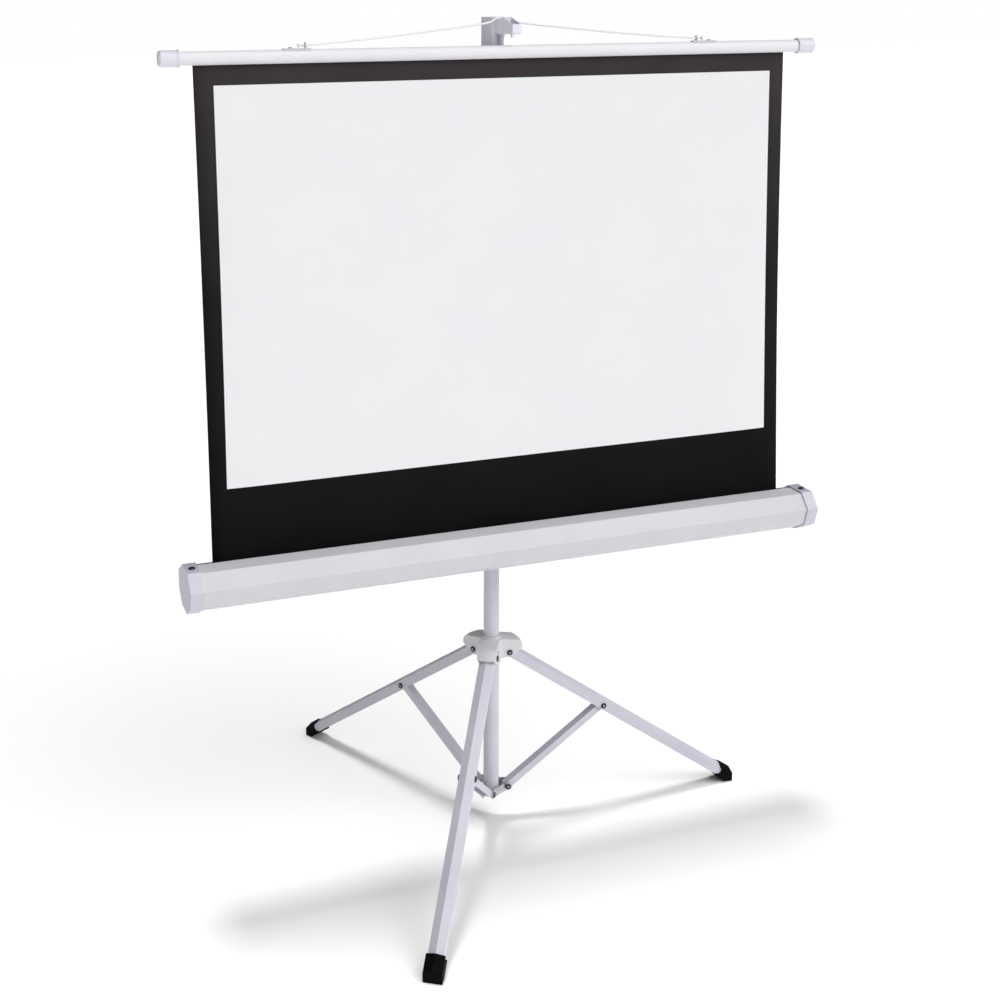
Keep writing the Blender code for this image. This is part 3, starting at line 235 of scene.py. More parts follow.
def per_metre(millimetres):
    """Noise scale whose features are about this size."""
    return 1000.0 / millimetres


def mottle(tree, shader, vector, patch, detail, first, second):
    """Cloudy base colour in patches of this many mm, between two tones, each a place and a colour."""
    cloud = add_node(tree, "ShaderNodeTexNoise", values={"Scale": per_metre(patch), "Detail": detail},
                     links={"Vector": vector})
    tone = add_node(tree, "ShaderNodeValToRGB", links={"Fac": cloud.outputs["Fac"]})
    for stop, (place, colour) in zip(tone.color_ramp.elements, (first, second)):
        stop.position = place
        stop.color = linear(colour)
    tree.links.new(tone.outputs["Color"], shader.inputs["Base Color"])
    return cloud


def powder_coat(name, colour, pale, gloss_level=0.3):
    """Powder-coated steel sheet and tube: baked on, so it keeps a fine orange peel and a soft gloss."""
    made, tree, shader, place = start_material(name, colour, 0.45)
    shader.inputs["Specular IOR Level"].default_value = gloss_level
    # The coat's thickness drifts over about 60 mm
    cloud = mottle(tree, shader, place.outputs["Object"], 60.0, 3.0, (0.35, colour), (0.68, pale))
    # Orange peel is about 1 mm across; drawn at 1.6 mm so that it shows
    peel = add_node(tree, "ShaderNodeTexNoise", values={"Scale": per_metre(1.6), "Detail": 2.0},
                    links={"Vector": place.outputs["Object"]})
    gloss = add_node(tree, "ShaderNodeMapRange",
                     values={"From Min": 0.3, "From Max": 0.7, "To Min": 0.38, "To Max": 0.52},
                     links={"Value": cloud.outputs["Fac"]})
    tree.links.new(gloss.outputs["Result"], shader.inputs["Roughness"])
    bump = add_node(tree, "ShaderNodeBump", values={"Strength": 0.12, "Distance": 0.0003},
                    links={"Height": peel.outputs["Fac"]})
    tree.links.new(bump.outputs["Normal"], shader.inputs["Normal"])
    return made


def moulded_plastic(name, colour, pale, roughness, grain):
    """Injection-moulded plastic: spark-eroded mould grain of this many mm, faintly mottled colour."""
    made, tree, shader, place = start_material(name, colour, roughness, ior=1.53)
    # Flow marks are about 25 mm across; grain is near 0.1 mm, drawn coarser so that it shows
    mottle(tree, shader, place.outputs["Object"], 25.0, 4.0, (0.3, colour), (0.7, pale))
    pits = add_node(tree, "ShaderNodeTexNoise", values={"Scale": per_metre(grain), "Detail": 3.0},
                    links={"Vector": place.outputs["Object"]})
    sheen = add_node(tree, "ShaderNodeMapRange",
                     values={"From Min": 0.3, "From Max": 0.7, "To Min": roughness - 0.06,
                             "To Max": roughness + 0.08},
                     links={"Value": pits.outputs["Fac"]})
    tree.links.new(sheen.outputs["Result"], shader.inputs["Roughness"])
    bump = add_node(tree, "ShaderNodeBump", values={"Strength": 0.18, "Distance": 0.0002},
                    links={"Height": pits.outputs["Fac"]})
    tree.links.new(bump.outputs["Normal"], shader.inputs["Normal"])
    return made


def zinc_steel(name, colour, dull):
    """Bright zinc-plated steel: pressed or headed, with faint spangle and rubbing marks."""
    made, tree, shader, place = start_material(name, colour, 0.26, 1.0)
    # Spangle is about 3 mm across, rubbing marks about 6 mm
    spangle = add_node(tree, "ShaderNodeTexVoronoi", values={"Scale": per_metre(3.0)},
                       links={"Vector": place.outputs["Object"]})
    cloud = add_node(tree, "ShaderNodeTexNoise", values={"Scale": per_metre(6.0), "Detail": 5.0},
                     links={"Vector": place.outputs["Object"]})
    mixed = add_node(tree, "ShaderNodeMix", {"data_type": "FLOAT"}, {"Factor": 0.7})
    tree.links.new(spangle.outputs["Distance"], mixed.inputs[2])
    tree.links.new(cloud.outputs["Fac"], mixed.inputs[3])
    tone = add_node(tree, "ShaderNodeValToRGB", links={"Fac": mixed.outputs[0]})
    tone.color_ramp.elements[0].color = linear(dull)
    tone.color_ramp.elements[1].color = linear(colour)
    tone.color_ramp.elements[0].position = 0.25
    tone.color_ramp.elements[1].position = 0.6
    tree.links.new(tone.outputs["Color"], shader.inputs["Base Color"])
    rub = add_node(tree, "ShaderNodeMapRange",
                   values={"From Min": 0.25, "From Max": 0.75, "To Min": 0.20, "To Max": 0.40},
                   links={"Value": cloud.outputs["Fac"]})
    tree.links.new(rub.outputs["Result"], shader.inputs["Roughness"])
    return made


def rubber(name, colour, dust):
    """Moulded black rubber: matt, a little dusty, fine grain."""
    made, tree, shader, place = start_material(name, colour, 0.7, ior=1.52)
    shader.inputs["Specular IOR Level"].default_value = 0.05
    # Dust lies in patches of about 9 mm; the grain is finer, drawn at 0.9 mm so that it shows
    mottle(tree, shader, place.outputs["Object"], 9.0, 6.0, (0.45, colour), (0.85, dust))
    grain = add_node(tree, "ShaderNodeTexNoise", values={"Scale": per_metre(0.9), "Detail": 2.0},
                     links={"Vector": place.outputs["Object"]})
    bump = add_node(tree, "ShaderNodeBump", values={"Strength": 0.25, "Distance": 0.0002},
                    links={"Height": grain.outputs["Fac"]})
    tree.links.new(bump.outputs["Normal"], shader.inputs["Normal"])
    return made


def woven_cloth(name, colour, thread, strength):
    """Glass-fibre cloth with a matt coat: plain weave that only shows as a fine tooth."""
    made, tree, shader, place = start_material(name, colour, 0.82, ior=1.45)
    shader.inputs["Specular IOR Level"].default_value = 0.12
    # UV counts metres on this cloth; real threads are about 0.5 mm apart, drawn wider to show
    weave = add_node(tree, "ShaderNodeMath", {"operation": "MULTIPLY"})
    for index, direction in enumerate(("X", "Y")):
        threads = add_node(tree, "ShaderNodeTexWave", {"bands_direction": direction},
                           {"Scale": WAVE_LENGTH * per_metre(thread), "Distortion": 0.4, "Detail": 1.0},
                           {"Vector": place.outputs["UV"]})
        tree.links.new(threads.outputs["Fac"], weave.inputs[index])
    bump = add_node(tree, "ShaderNodeBump", values={"Strength": strength, "Distance": 0.0002},
                    links={"Height": weave.outputs["Value"]})
    tree.links.new(bump.outputs["Normal"], shader.inputs["Normal"])
    return made, tree, shader, place


def coated_cloth(name, colour, second, thread, strength):
    """Woven cloth whose coat drifts a little in tone, over about 120 mm."""
    made, tree, shader, place = woven_cloth(name, colour, thread, strength)
    mottle(tree, shader, place.outputs["UV"], 120.0, 3.0, (0.3, colour), (0.7, second))
    return made


def border_print_painted_light(name, shaded_foot_colour, side_colour, lit_top_colour, low, high):
    """Black print on the cloth, with painted light: paler towards the bar, deep black at the foot."""
    made, tree, shader, place = woven_cloth(name, side_colour, FRONT_THREAD, 0.12)
    parts = add_node(tree, "ShaderNodeSeparateXYZ", links={"Vector": place.outputs["UV"]})
    height = add_node(tree, "ShaderNodeMapRange", values={"From Min": low, "From Max": high},
                      links={"Value": parts.outputs["Y"]})
    # The lighter tone varies in patches about the size of a hand
    patch = add_node(tree, "ShaderNodeTexNoise", values={"Scale": per_metre(90.0), "Detail": 4.0},
                     links={"Vector": place.outputs["UV"]})
    patchy_painted_light = add_node(tree, "ShaderNodeMath", {"operation": "MULTIPLY_ADD"}, {1: 0.24},
                    {0: patch.outputs["Fac"], 2: height.outputs["Result"]})
    painted_light_level = add_node(tree, "ShaderNodeMath", {"operation": "SUBTRACT"}, {1: 0.12},
                    {0: patchy_painted_light.outputs["Value"]})
    tone = add_node(tree, "ShaderNodeValToRGB", links={"Fac": painted_light_level.outputs["Value"]})
    tone.color_ramp.elements[0].color = linear(shaded_foot_colour)
    tone.color_ramp.elements[1].color = linear(lit_top_colour)
    middle = tone.color_ramp.elements.new(0.55)
    middle.color = linear(side_colour)
    tree.links.new(tone.outputs["Color"], shader.inputs["Base Color"])
    return made


def twisted_cord(name, colour, shade):
    """Twisted white nylon cord: slanting strands, with painted shade in the grooves."""
    made, tree, shader, place = start_material(name, colour, 0.7)
    # UV: one turn round the cord across, metres along; three strands with an 8 mm lay
    strands = 3.0
    parts = add_node(tree, "ShaderNodeSeparateXYZ", links={"Vector": place.outputs["UV"]})
    around = add_node(tree, "ShaderNodeMath", {"operation": "MULTIPLY"}, {1: strands},
                      {0: parts.outputs["X"]})
    lay = add_node(tree, "ShaderNodeMath", {"operation": "MULTIPLY"}, {1: per_metre(8.0) * strands},
                   {0: parts.outputs["Y"]})
    slant = add_node(tree, "ShaderNodeMath", {"operation": "ADD"},
                     links={0: around.outputs["Value"], 1: lay.outputs["Value"]})
    saw = add_node(tree, "ShaderNodeMath", {"operation": "PINGPONG"}, {1: 0.5},
                   {0: slant.outputs["Value"]})
    # Painted shade: the colour is darker in the grooves between the strands
    tone = add_node(tree, "ShaderNodeValToRGB", links={"Fac": saw.outputs["Value"]})
    tone.color_ramp.elements[0].color = linear(shade)
    tone.color_ramp.elements[1].color = linear(colour)
    tone.color_ramp.elements[0].position = 0.0
    tone.color_ramp.elements[1].position = 0.18
    tree.links.new(tone.outputs["Color"], shader.inputs["Base Color"])
    bump = add_node(tree, "ShaderNodeBump", values={"Strength": 0.6, "Distance": 0.0004},
                    links={"Height": saw.outputs["Value"]})
    tree.links.new(bump.outputs["Normal"], shader.inputs["Normal"])
    return made


def shading_tree():
    """Shades a welded node smooth except at its real edges."""
    tree = bpy.data.node_groups.new("shade_by_angle", "GeometryNodeTree")
    tree.interface.new_socket("Geometry", in_out="INPUT", socket_type="NodeSocketGeometry")
    tree.interface.new_socket("Edge angle", in_out="INPUT", socket_type="NodeSocketFloat")
    tree.interface.new_socket("Geometry", in_out="OUTPUT", socket_type="NodeSocketGeometry")
    source = add_node(tree, "NodeGroupInput")
    smooth = add_node(tree, "GeometryNodeSetShadeSmooth", {"domain": "FACE"},
                      {"Shade Smooth": True}, {"Geometry": source.outputs["Geometry"]})
    angle = add_node(tree, "GeometryNodeInputMeshEdgeAngle")
    steep = add_node(tree, "FunctionNodeCompare", {"data_type": "FLOAT", "operation": "GREATER_THAN"},
                     None, {"A": angle.outputs["Unsigned Angle"], "B": source.outputs["Edge angle"]})
    sharp = add_node(tree, "GeometryNodeSetShadeSmooth", {"domain": "EDGE"}, {"Shade Smooth": False},
                     {"Geometry": smooth.outputs["Geometry"], "Selection": steep.outputs["Result"]})
    add_node(tree, "NodeGroupOutput", links={"Geometry": sharp.outputs["Geometry"]})
    return tree


def dress_nodes(names, material, edge):
    """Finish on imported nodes, with rounded edges of this radius in metres."""
    tree = bpy.data.node_groups.get("shade_by_angle") or shading_tree()
    angle_key = [item.identifier for item in tree.interface.items_tree if item.name == "Edge angle"][0]
    for name in names:
        item = NODES[name]
        item.data.materials.clear()
        item.data.materials.append(material)
        weld = item.modifiers.new("weld", "WELD")
        weld.merge_threshold = WELD_GAP
        if edge > 0:
            bevel = item.modifiers.new("edge", "BEVEL")
            bevel.width = edge
            bevel.segments = 2
            bevel.limit_method = "ANGLE"
            bevel.angle_limit = BEVEL_FROM
            bevel.use_clamp_overlap = True
        shade = item.modifiers.new("shade", "NODES")
        shade.node_group = tree
        shade[angle_key] = SHARP_FROM
        # Flat faces stay flat to the eye beside their rounded edges
        even = item.modifiers.new("even", "WEIGHTED_NORMAL")
        even.mode = "FACE_AREA"
        even.keep_sharp = True


def place_piece(name, mesh, material, body):
    """New piece at the origin, riding on a body."""
    item = bpy.data.objects.new(name, mesh)
    bpy.context.scene.collection.objects.link(item)
    if material:
        mesh.materials.clear()
        mesh.materials.append(material)
    for face in mesh.polygons:
        face.use_smooth = True
    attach(item, body)
    return item


def start_ends_tree(name, sizes):
    """Empty tree for a small shape on rivet ends, with a named input for each of its sizes."""
    tree = bpy.data.node_groups.new(name, "GeometryNodeTree")
    tree.interface.new_socket("Geometry", in_out="INPUT", socket_type="NodeSocketGeometry")
    for label in sizes:
        tree.interface.new_socket(label, in_out="INPUT", socket_type="NodeSocketFloat")
    tree.interface.new_socket("Geometry", in_out="OUTPUT", socket_type="NodeSocketGeometry")
    return tree, add_node(tree, "NodeGroupInput")


def put_on_ends(tree, source, shape, material):
    """Places the shape on every point, along the point's own axis, as one plain mesh."""
    axis = add_node(tree, "GeometryNodeInputNamedAttribute", {"data_type": "FLOAT_VECTOR"},
                    {"Name": "axis"})
    turn = add_node(tree, "FunctionNodeAlignRotationToVector", {"axis": "Z"},
                    links={"Vector": axis.outputs["Attribute"]})
    copies = add_node(tree, "GeometryNodeInstanceOnPoints",
                      links={"Points": source.outputs["Geometry"], "Instance": shape,
                             "Rotation": turn.outputs["Rotation"]})
    real = add_node(tree, "GeometryNodeRealizeInstances",
                    links={"Geometry": copies.outputs["Instances"]})
    painted = add_node(tree, "GeometryNodeSetMaterial", None, {"Material": material},
                       {"Geometry": real.outputs["Geometry"]})
    add_node(tree, "NodeGroupOutput", links={"Geometry": painted.outputs["Geometry"]})


def rolled_lip_tree(material):
    """Rolled-over lip of a tubular rivet: a round wire bent to a ring."""
    tree, source = start_ends_tree("rolled_lips", ("Ring radius", "Wire radius"))
    ring = add_node(tree, "GeometryNodeCurvePrimitiveCircle", None, {"Resolution": 32},
                    {"Radius": source.outputs["Ring radius"]})
    wire = add_node(tree, "GeometryNodeCurvePrimitiveCircle", None, {"Resolution": 12},
                    {"Radius": source.outputs["Wire radius"]})
    swept = add_node(tree, "GeometryNodeCurveToMesh",
                     links={"Curve": ring.outputs["Curve"], "Profile Curve": wire.outputs["Curve"]})
    put_on_ends(tree, source, swept.outputs["Mesh"], material)
    return tree


def pin_eye_tree(material):
    """Low blunt cone in the middle of a rivet's head; in bright steel it is a painted highlight."""
    tree, source = start_ends_tree("pin_eyes", ("Eye radius", "Eye height"))
    narrow = add_node(tree, "ShaderNodeMath", {"operation": "MULTIPLY"}, {1: PIN_TAPER},
                      {0: source.outputs["Eye radius"]})
    cone = add_node(tree, "GeometryNodeMeshCone", None,
                    {"Vertices": 24, "Side Segments": 2, "Fill Segments": 2},
                    {"Radius Top": narrow.outputs["Value"],
                     "Radius Bottom": source.outputs["Eye radius"],
                     "Depth": source.outputs["Eye height"]})
    put_on_ends(tree, source, cone.outputs["Mesh"], material)
    return tree


def plain_mesh(holder, name):
    """What the holder's modifiers make, as a plain mesh; the holder itself goes."""
    made = bpy.data.meshes.new_from_object(holder.evaluated_get(bpy.context.evaluated_depsgraph_get()))
    bpy.data.objects.remove(holder, do_unlink=True)
    made.name = name
    return made


def thick_sheet(name, mesh, thickness, offset, back_slot=0, rim_slot=0):
    """Plain mesh of an open sheet that is given its thickness."""
    holder = bpy.data.objects.new(mesh.name, mesh)
    bpy.context.scene.collection.objects.link(holder)
    thicken = holder.modifiers.new("thickness", "SOLIDIFY")
    thicken.thickness = thickness
    thicken.offset = offset
    thicken.material_offset = back_slot
    thicken.material_offset_rim = rim_slot
    return plain_mesh(holder, name)


def mesh_on_ends(name, ends, tree, sizes):
    """Plain mesh that the tree makes on these ends, each a place and an outward axis."""
    points = bpy.data.meshes.new(name)
    points.from_pydata([place for place, axis in ends], [], [])
    axes = points.attributes.new("axis", "FLOAT_VECTOR", "POINT")
    for index, (place, axis) in enumerate(ends):
        axes.data[index].vector = axis
    holder = bpy.data.objects.new(name, points)
    bpy.context.scene.collection.objects.link(holder)
    maker = holder.modifiers.new("ends", "NODES")
    maker.node_group = tree
    for socket in tree.interface.items_tree:
        if socket.name in sizes:
            maker[socket.identifier] = sizes[socket.name]
    return plain_mesh(holder, name)


def smooth_route(points, step):
    """Points at an even step along a smooth curve through the route points."""
    dense = []
    padded = [points[0]] + points + [points[-1]]
    for index in range(1, len(padded) - 2):
        before, start, end, after = padded[index - 1:index + 3]
        for part in range(ROUTE_PARTS):
            share = part / ROUTE_PARTS
            dense.append([0.5 * (2 * b + (c - a) * share
                                 + (2 * a - 5 * b + 4 * c - d) * share ** 2
                                 + (3 * b - a - 3 * c + d) * share ** 3)
                          for a, b, c, d in zip(before, start, end, after)])
    dense.append(list(points[-1]))
    route = [dense[0]]
    for place in dense[1:-1]:
        if math.dist(place, route[-1]) >= step:
            route.append(place)
    if math.dist(route[-1], dense[-1]) < step * 0.5:
        route.pop()
    route.append(dense[-1])
    return [Vector(place) for place in route]


def tube_mesh(name, points, radius, sides, closed=False):
    """Round tube along points; UV is turns round it and metres along it."""
    work = bmesh.new()
    uv_layer = work.loops.layers.uv.new("UVMap")
    count = len(points)
    rings = []
    along = [0.0]
    normal = None
    for index, point in enumerate(points):
        before = points[index - 1] if index or closed else points[index]
        after = points[(index + 1) % count] if index < count - 1 or closed else points[index]
        tangent = (after - before).normalized()
        if normal is None:
            normal = tangent.orthogonal().normalized()
        normal = (normal - tangent * normal.dot(tangent)).normalized()
        other = tangent.cross(normal)
        ring = []
        for side in range(sides):
            turn = math.tau * side / sides
            outward = math.cos(turn) * normal + math.sin(turn) * other
            ring.append(work.verts.new(point + radius * outward))
        rings.append(ring)
        if index:
            along.append(along[-1] + (point - points[index - 1]).length)
    spans = count if closed else count - 1
    for index in range(spans):
        first, second = rings[index], rings[(index + 1) % count]
        start = along[index]
        end = along[index + 1] if index + 1 < count else start + (points[0] - points[-1]).length
        for side in range(sides):
            following = (side + 1) % sides
            face = work.faces.new((first[side], first[following], second[following], second[side]))
            places = ((side, start), (side + 1, start), (side + 1, end), (side, end))
            for loop, place in zip(face.loops, places):
                loop[uv_layer].uv = (place[0] / sides, place[1])
    if not closed:
        work.faces.new(rings[0][::-1])
        work.faces.new(rings[-1])
    bmesh.ops.recalc_face_normals(work, faces=work.faces)
    mesh = bpy.data.meshes.new(name)
    work.to_mesh(mesh)
    work.free()
    return mesh


def studio_air(even, side, sharpness):
    """Even light with one broad brighter side; past the floor's edge the camera sees plain white."""
    world = bpy.data.worlds.new("studio_air")
    world.use_nodes = True
    tree = world.node_tree
    tree.nodes.clear()
    white = linear("FFFFFF")
    place = add_node(tree, "ShaderNodeTexCoord")
    facing = add_node(tree, "ShaderNodeVectorMath", {"operation": "DOT_PRODUCT"},
                      {1: Vector(SIDE_FROM).normalized()}, {0: place.outputs["Generated"]})
    front = add_node(tree, "ShaderNodeMath", {"operation": "MAXIMUM"}, {1: 0.0},
                     {0: facing.outputs["Value"]})
    lobe = add_node(tree, "ShaderNodeMath", {"operation": "POWER"}, {1: sharpness},
                    {0: front.outputs["Value"]})
    level = add_node(tree, "ShaderNodeMath", {"operation": "MULTIPLY_ADD"}, {1: side, 2: even},
                     {0: lobe.outputs["Value"]})
    light = add_node(tree, "ShaderNodeBackground", None, {"Color": white},
                     {"Strength": level.outputs["Value"]})
    paper = add_node(tree, "ShaderNodeBackground", None, {"Color": white, "Strength": 1.0})
    path = add_node(tree, "ShaderNodeLightPath")
    mixed = add_node(tree, "ShaderNodeMixShader", None, None,
                     {0: path.outputs["Is Camera Ray"], 1: light.outputs["Background"],
                      2: paper.outputs["Background"]})
    add_node(tree, "ShaderNodeOutputWorld", None, None, {"Surface": mixed.outputs["Shader"]})
    return world


class ScreenSizes(bpy.types.PropertyGroup):
    """Sizes of the cloth, the cord, the rivet ends and the screw washers."""

    picture_half_width: FloatProperty(
        name="Half picture width", description="From the middle to the black side border",
        default=0.4262, **LENGTH)
    picture_low: FloatProperty(
        name="Picture foot", description="Height of the white area's lower edge above the floor",
        default=0.6147, **LENGTH)
    picture_high: FloatProperty(
        name="Picture top", description="Height of the white area's upper edge above the floor",
        default=1.1676, **LENGTH)
    cloth_thickness: FloatProperty(
        name="Cloth thickness", description="Thickness of the coated cloth", default=0.0005, **LENGTH)
    edge_curl: FloatProperty(
        name="Edge curl", description="How far the free side edges curl back at mid height",
        default=0.0030, **LENGTH)
    side_draw: FloatProperty(
        name="Side draw", description="How far the side edges draw in at mid height",
        default=0.0015, **LENGTH)
    cord_diameter: FloatProperty(
        name="Cord diameter", description="Thickness of the pull cord", default=0.0028, **LENGTH)
    roll_turns: IntProperty(
        name="Turns on the roller", description="Turns of cloth left on the roller", default=5)
    lip_radius: FloatProperty(
        name="Rivet lip", description="Radius of the ring that a rivet's rolled lip follows",
        default=0.0031, **LENGTH)
    lip_wire: FloatProperty(
        name="Rivet lip thickness", description="Radius of the rolled lip itself",
        default=0.0015, **LENGTH)
    eye_radius: FloatProperty(
        name="Rivet eye", description="Radius of the pin in a rivet's head", default=0.0013, **LENGTH)
    eye_height: FloatProperty(
        name="Rivet eye height", description="Height of the pin", default=0.0010, **LENGTH)
    screw_lip_radius: FloatProperty(
        name="Screw washer", description="Radius of the ring that a cap screw's washer follows",
        default=0.0036, **LENGTH)
    screw_lip_wire: FloatProperty(
        name="Screw washer thickness", description="Radius of the washer's own roll",
        default=0.0013, **LENGTH)
    foot_spread: FloatProperty(
        name="Cloth foot spread", description="How much wider each side of the cloth is at its foot",
        default=0.0027, **LENGTH)
    top_draw: FloatProperty(
        name="Cloth top draw", description="How far the cloth's top right corner is drawn in",
        default=0.0050, **LENGTH)
    print_lean: FloatProperty(
        name="Print lean", description="How far the white area's top left corner is printed in",
        default=0.0038, **LENGTH)


class ScreenFinishes(bpy.types.PropertyGroup):
    """Settings of the studio."""

    air_strength: FloatProperty(
        name="Even light", description="Strength of the light from all round", default=0.17)
    side_strength: FloatProperty(
        name="Side light", description="Strength of the broad light from the front right", default=4.3)
    side_sharpness: FloatProperty(
        name="Side sharpness", description="How narrow the broad light is", default=7.5)
    overhead_strength: FloatProperty(
        name="Overhead light", description="Strength of the soft light from above and behind",
        default=1.95)
    floor_colour: FloatVectorProperty(
        name="Floor", description="Colour of the studio floor", subtype="COLOR", size=3,
        default=linear(FLOOR_GREY)[:3])


class SCREEN_OT_cloth(bpy.types.Operator):
    """Screen cloth: white picture area, black border and back, pulled up from the roller"""

    bl_idname = "tripod_screen.cloth"
    bl_label = "Screen cloth"

    def execute(self, context):
        sizes = context.scene.tripod_screen_sizes
        low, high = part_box("screen_fabric")
        half_width = high.x
        foot = Vector((0.0, low.y + SHEET_HALF, low.z))
        top = Vector((0.0, high.y - SHEET_HALF, high.z))
        white = coated_cloth("matt_white_screen_coat", "E3E3E5", "E1E1E4", FRONT_THREAD, 0.05)
        # Painted light: the black border is drawn paler towards the bar and deep black at the foot
        black = border_print_painted_light("black_border_print", "060507", "1C1B1C", "383335", low.z, high.z)
        back = coated_cloth("black_cloth_back", "141416", "1B1B1E", BACK_THREAD, 0.20)
        columns = sorted({half_width, sizes.picture_half_width, 0.0}
                         | {half_width * index / CLOTH_COLUMNS for index in range(CLOTH_COLUMNS)})
        columns = [-place for place in columns[:0:-1]] + columns
        rise = high.z - low.z
        rows = sorted({low.z, sizes.picture_low, sizes.picture_high, high.z}
                      | {low.z + rise * index / CLOTH_ROWS for index in range(CLOTH_ROWS + 1)})
        work = bmesh.new()
        uv_layer = work.loops.layers.uv.new("UVMap")
        grid = []
        for height in rows:
            share = (height - foot.z) / (top.z - foot.z)
            swell = math.sin(math.pi * share)
            line = []
            for across in columns:
                part = across / half_width
                curl = sizes.edge_curl * swell * max(0.0, abs(part) - CURL_FROM) / (1 - CURL_FROM)
                bow = BOW_DEPTH * swell * math.cos(math.tau * BOW_WAVES * part)
                place = foot.lerp(top, share)
                draw = sizes.side_draw * swell + (sizes.top_draw * share if across > 0 else 0.0)
                stretch = 1 + (sizes.foot_spread * (1 - share) - draw) / half_width
                lean = sizes.print_lean * share if across == -sizes.picture_half_width else 0.0
                line.append(work.verts.new((across * stretch + lean, place.y + curl + bow, height)))
            grid.append(line)
        for row in range(len(rows) - 1):
            for column in range(len(columns) - 1):
                face = work.faces.new((grid[row][column], grid[row][column + 1],
                                       grid[row + 1][column + 1], grid[row + 1][column]))
                face.smooth = True
                middle_x = (columns[column] + columns[column + 1]) / 2
                middle_z = (rows[row] + rows[row + 1]) / 2
                inside = (abs(middle_x) < sizes.picture_half_width
                          and sizes.picture_low < middle_z < sizes.picture_high)
                face.material_index = 0 if inside else 1
                places = ((column, row), (column + 1, row), (column + 1, row + 1), (column, row + 1))
                for loop, spot in zip(face.loops, places):
                    loop[uv_layer].uv = (columns[spot[0]], rows[spot[1]])
        mesh = bpy.data.meshes.new("cloth_grid")
        work.to_mesh(mesh)
        work.free()
        for material in (white, black, back):
            mesh.materials.append(material)
        solid = thick_sheet("screen_cloth", mesh, sizes.cloth_thickness, -1.0, back_slot=2, rim_slot=1)
        cloth = place_piece("screen_cloth", solid, None, "column")
        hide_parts("screen_fabric")
        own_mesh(cloth)
        return {"FINISHED"}


class SCREEN_OT_roll(bpy.types.Operator):
    """Cloth wound on the roller, as a spiral"""

    bl_idname = "tripod_screen.roll"
    bl_label = "Cloth on the roller"

    def execute(self, context):
        sizes = context.scene.tripod_screen_sizes
        low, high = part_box("fabric_roll")
        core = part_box("roller_tube")[1].z - (low.z + high.z) / 2 + ROLL_LIFT
        outer = (high.z - low.z) / 2
        centre = (low + high) / 2
        steps = sizes.roll_turns * ROLL_STEPS
        spiral = []
        for index in range(steps + 1):
            share = index / steps
            radius = core + (outer - core - ROLL_INSET) * share
            turn = -math.pi / 2 + math.tau * sizes.roll_turns * share
            spiral.append((centre.y + radius * math.cos(turn), centre.z + radius * math.sin(turn)))
        work = bmesh.new()
        uv_layer = work.loops.layers.uv.new("UVMap")
        lines = [[work.verts.new((side, place[0], place[1])) for place in spiral]
                 for side in (low.x, high.x)]
        for index in range(steps):
            face = work.faces.new((lines[0][index], lines[1][index], lines[1][index + 1],
                                   lines[0][index + 1]))
            spots = ((low.x, index), (high.x, index), (high.x, index + 1), (low.x, index + 1))
            for loop, spot in zip(face.loops, spots):
                loop[uv_layer].uv = (spot[0], spot[1] * ROLL_STEP_LENGTH)
        mesh = bpy.data.meshes.new("roll_strip")
        work.to_mesh(mesh)
        work.free()
        solid = thick_sheet("cloth_roll", mesh, sizes.cloth_thickness * ROLL_CLOTH_SHARE, 0.0)
        wound = coated_cloth("black_cloth_wound", "141416", "1B1B1E", BACK_THREAD, 0.20)
        roll = place_piece("cloth_roll", solid, wound, "roller")
        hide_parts("fabric_roll")
        return {"FINISHED"}


class SCREEN_OT_cord(bpy.types.Operator):
    """Pull cord from clip to clip over the hook, with a knot behind each eye"""

    bl_idname = "tripod_screen.cord"
    bl_label = "Pull cord"

    def execute(self, context):
        radius = context.scene.tripod_screen_sizes.cord_diameter / 2
        bar_y = (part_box("top_bar")[0].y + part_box("top_bar")[1].y) / 2
        notch = Vector((MAST_X + NOTCH_REACH * math.sin(HOOK_TURN),
                        MAST_Y - NOTCH_REACH * math.cos(HOOK_TURN), NOTCH_Z))
        over = Vector((math.cos(HOOK_TURN), math.sin(HOOK_TURN), 0.0)) * NOTCH_EDGE
        eye_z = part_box("cord_clip_left")[1].z - CLIP_EYE_DROP

        def run(side):
            start = Vector((side * CORD_START_X, bar_y, eye_z))
            edge = notch + side * over
            bend = edge + Vector((side * CORD_BEND_RUN, 0.0, -CORD_BEND_DROP))
            points = [Vector((side * CORD_END_X, bar_y, eye_z)), start]
            for share in CORD_SAG_SHARES:
                place = start.lerp(bend, share)
                place.z -= CORD_SAG * math.sin(math.pi * share)
                points.append(place)
            return points + [bend, edge]

        route = run(-1) + [notch] + run(1)[::-1]
        points = smooth_route([tuple(place) for place in route], CORD_STEP)
        nylon = twisted_cord("twisted_nylon_cord", "F1F1F2", "B9B9C0")
        mesh = tube_mesh("pull_cord_twisted", points, radius, CORD_SIDES)
        cord = place_piece("pull_cord_twisted", mesh, nylon, "extension")
        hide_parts("pull_cord")
        for name, side in (("left", -1), ("right", 1)):
            centre = Vector((side * (CORD_END_X + KNOT_OFFSET), bar_y, eye_z))
            loop = []
            for index in range(KNOT_STEPS):
                angle = math.tau * index / KNOT_STEPS
                loop.append(centre + Vector((
                    side * KNOT_DEPTH * math.sin(3 * angle),
                    KNOT_SIZE * (math.sin(angle) + 2 * math.sin(2 * angle)),
                    KNOT_SIZE * (math.cos(angle) - 2 * math.cos(2 * angle)))))
            mesh = tube_mesh("cord_knot_" + name, loop, radius * KNOT_CORD_SHARE, KNOT_SIDES, closed=True)
            place_piece("cord_knot_" + name, mesh, nylon, "extension")
        return {"FINISHED"}


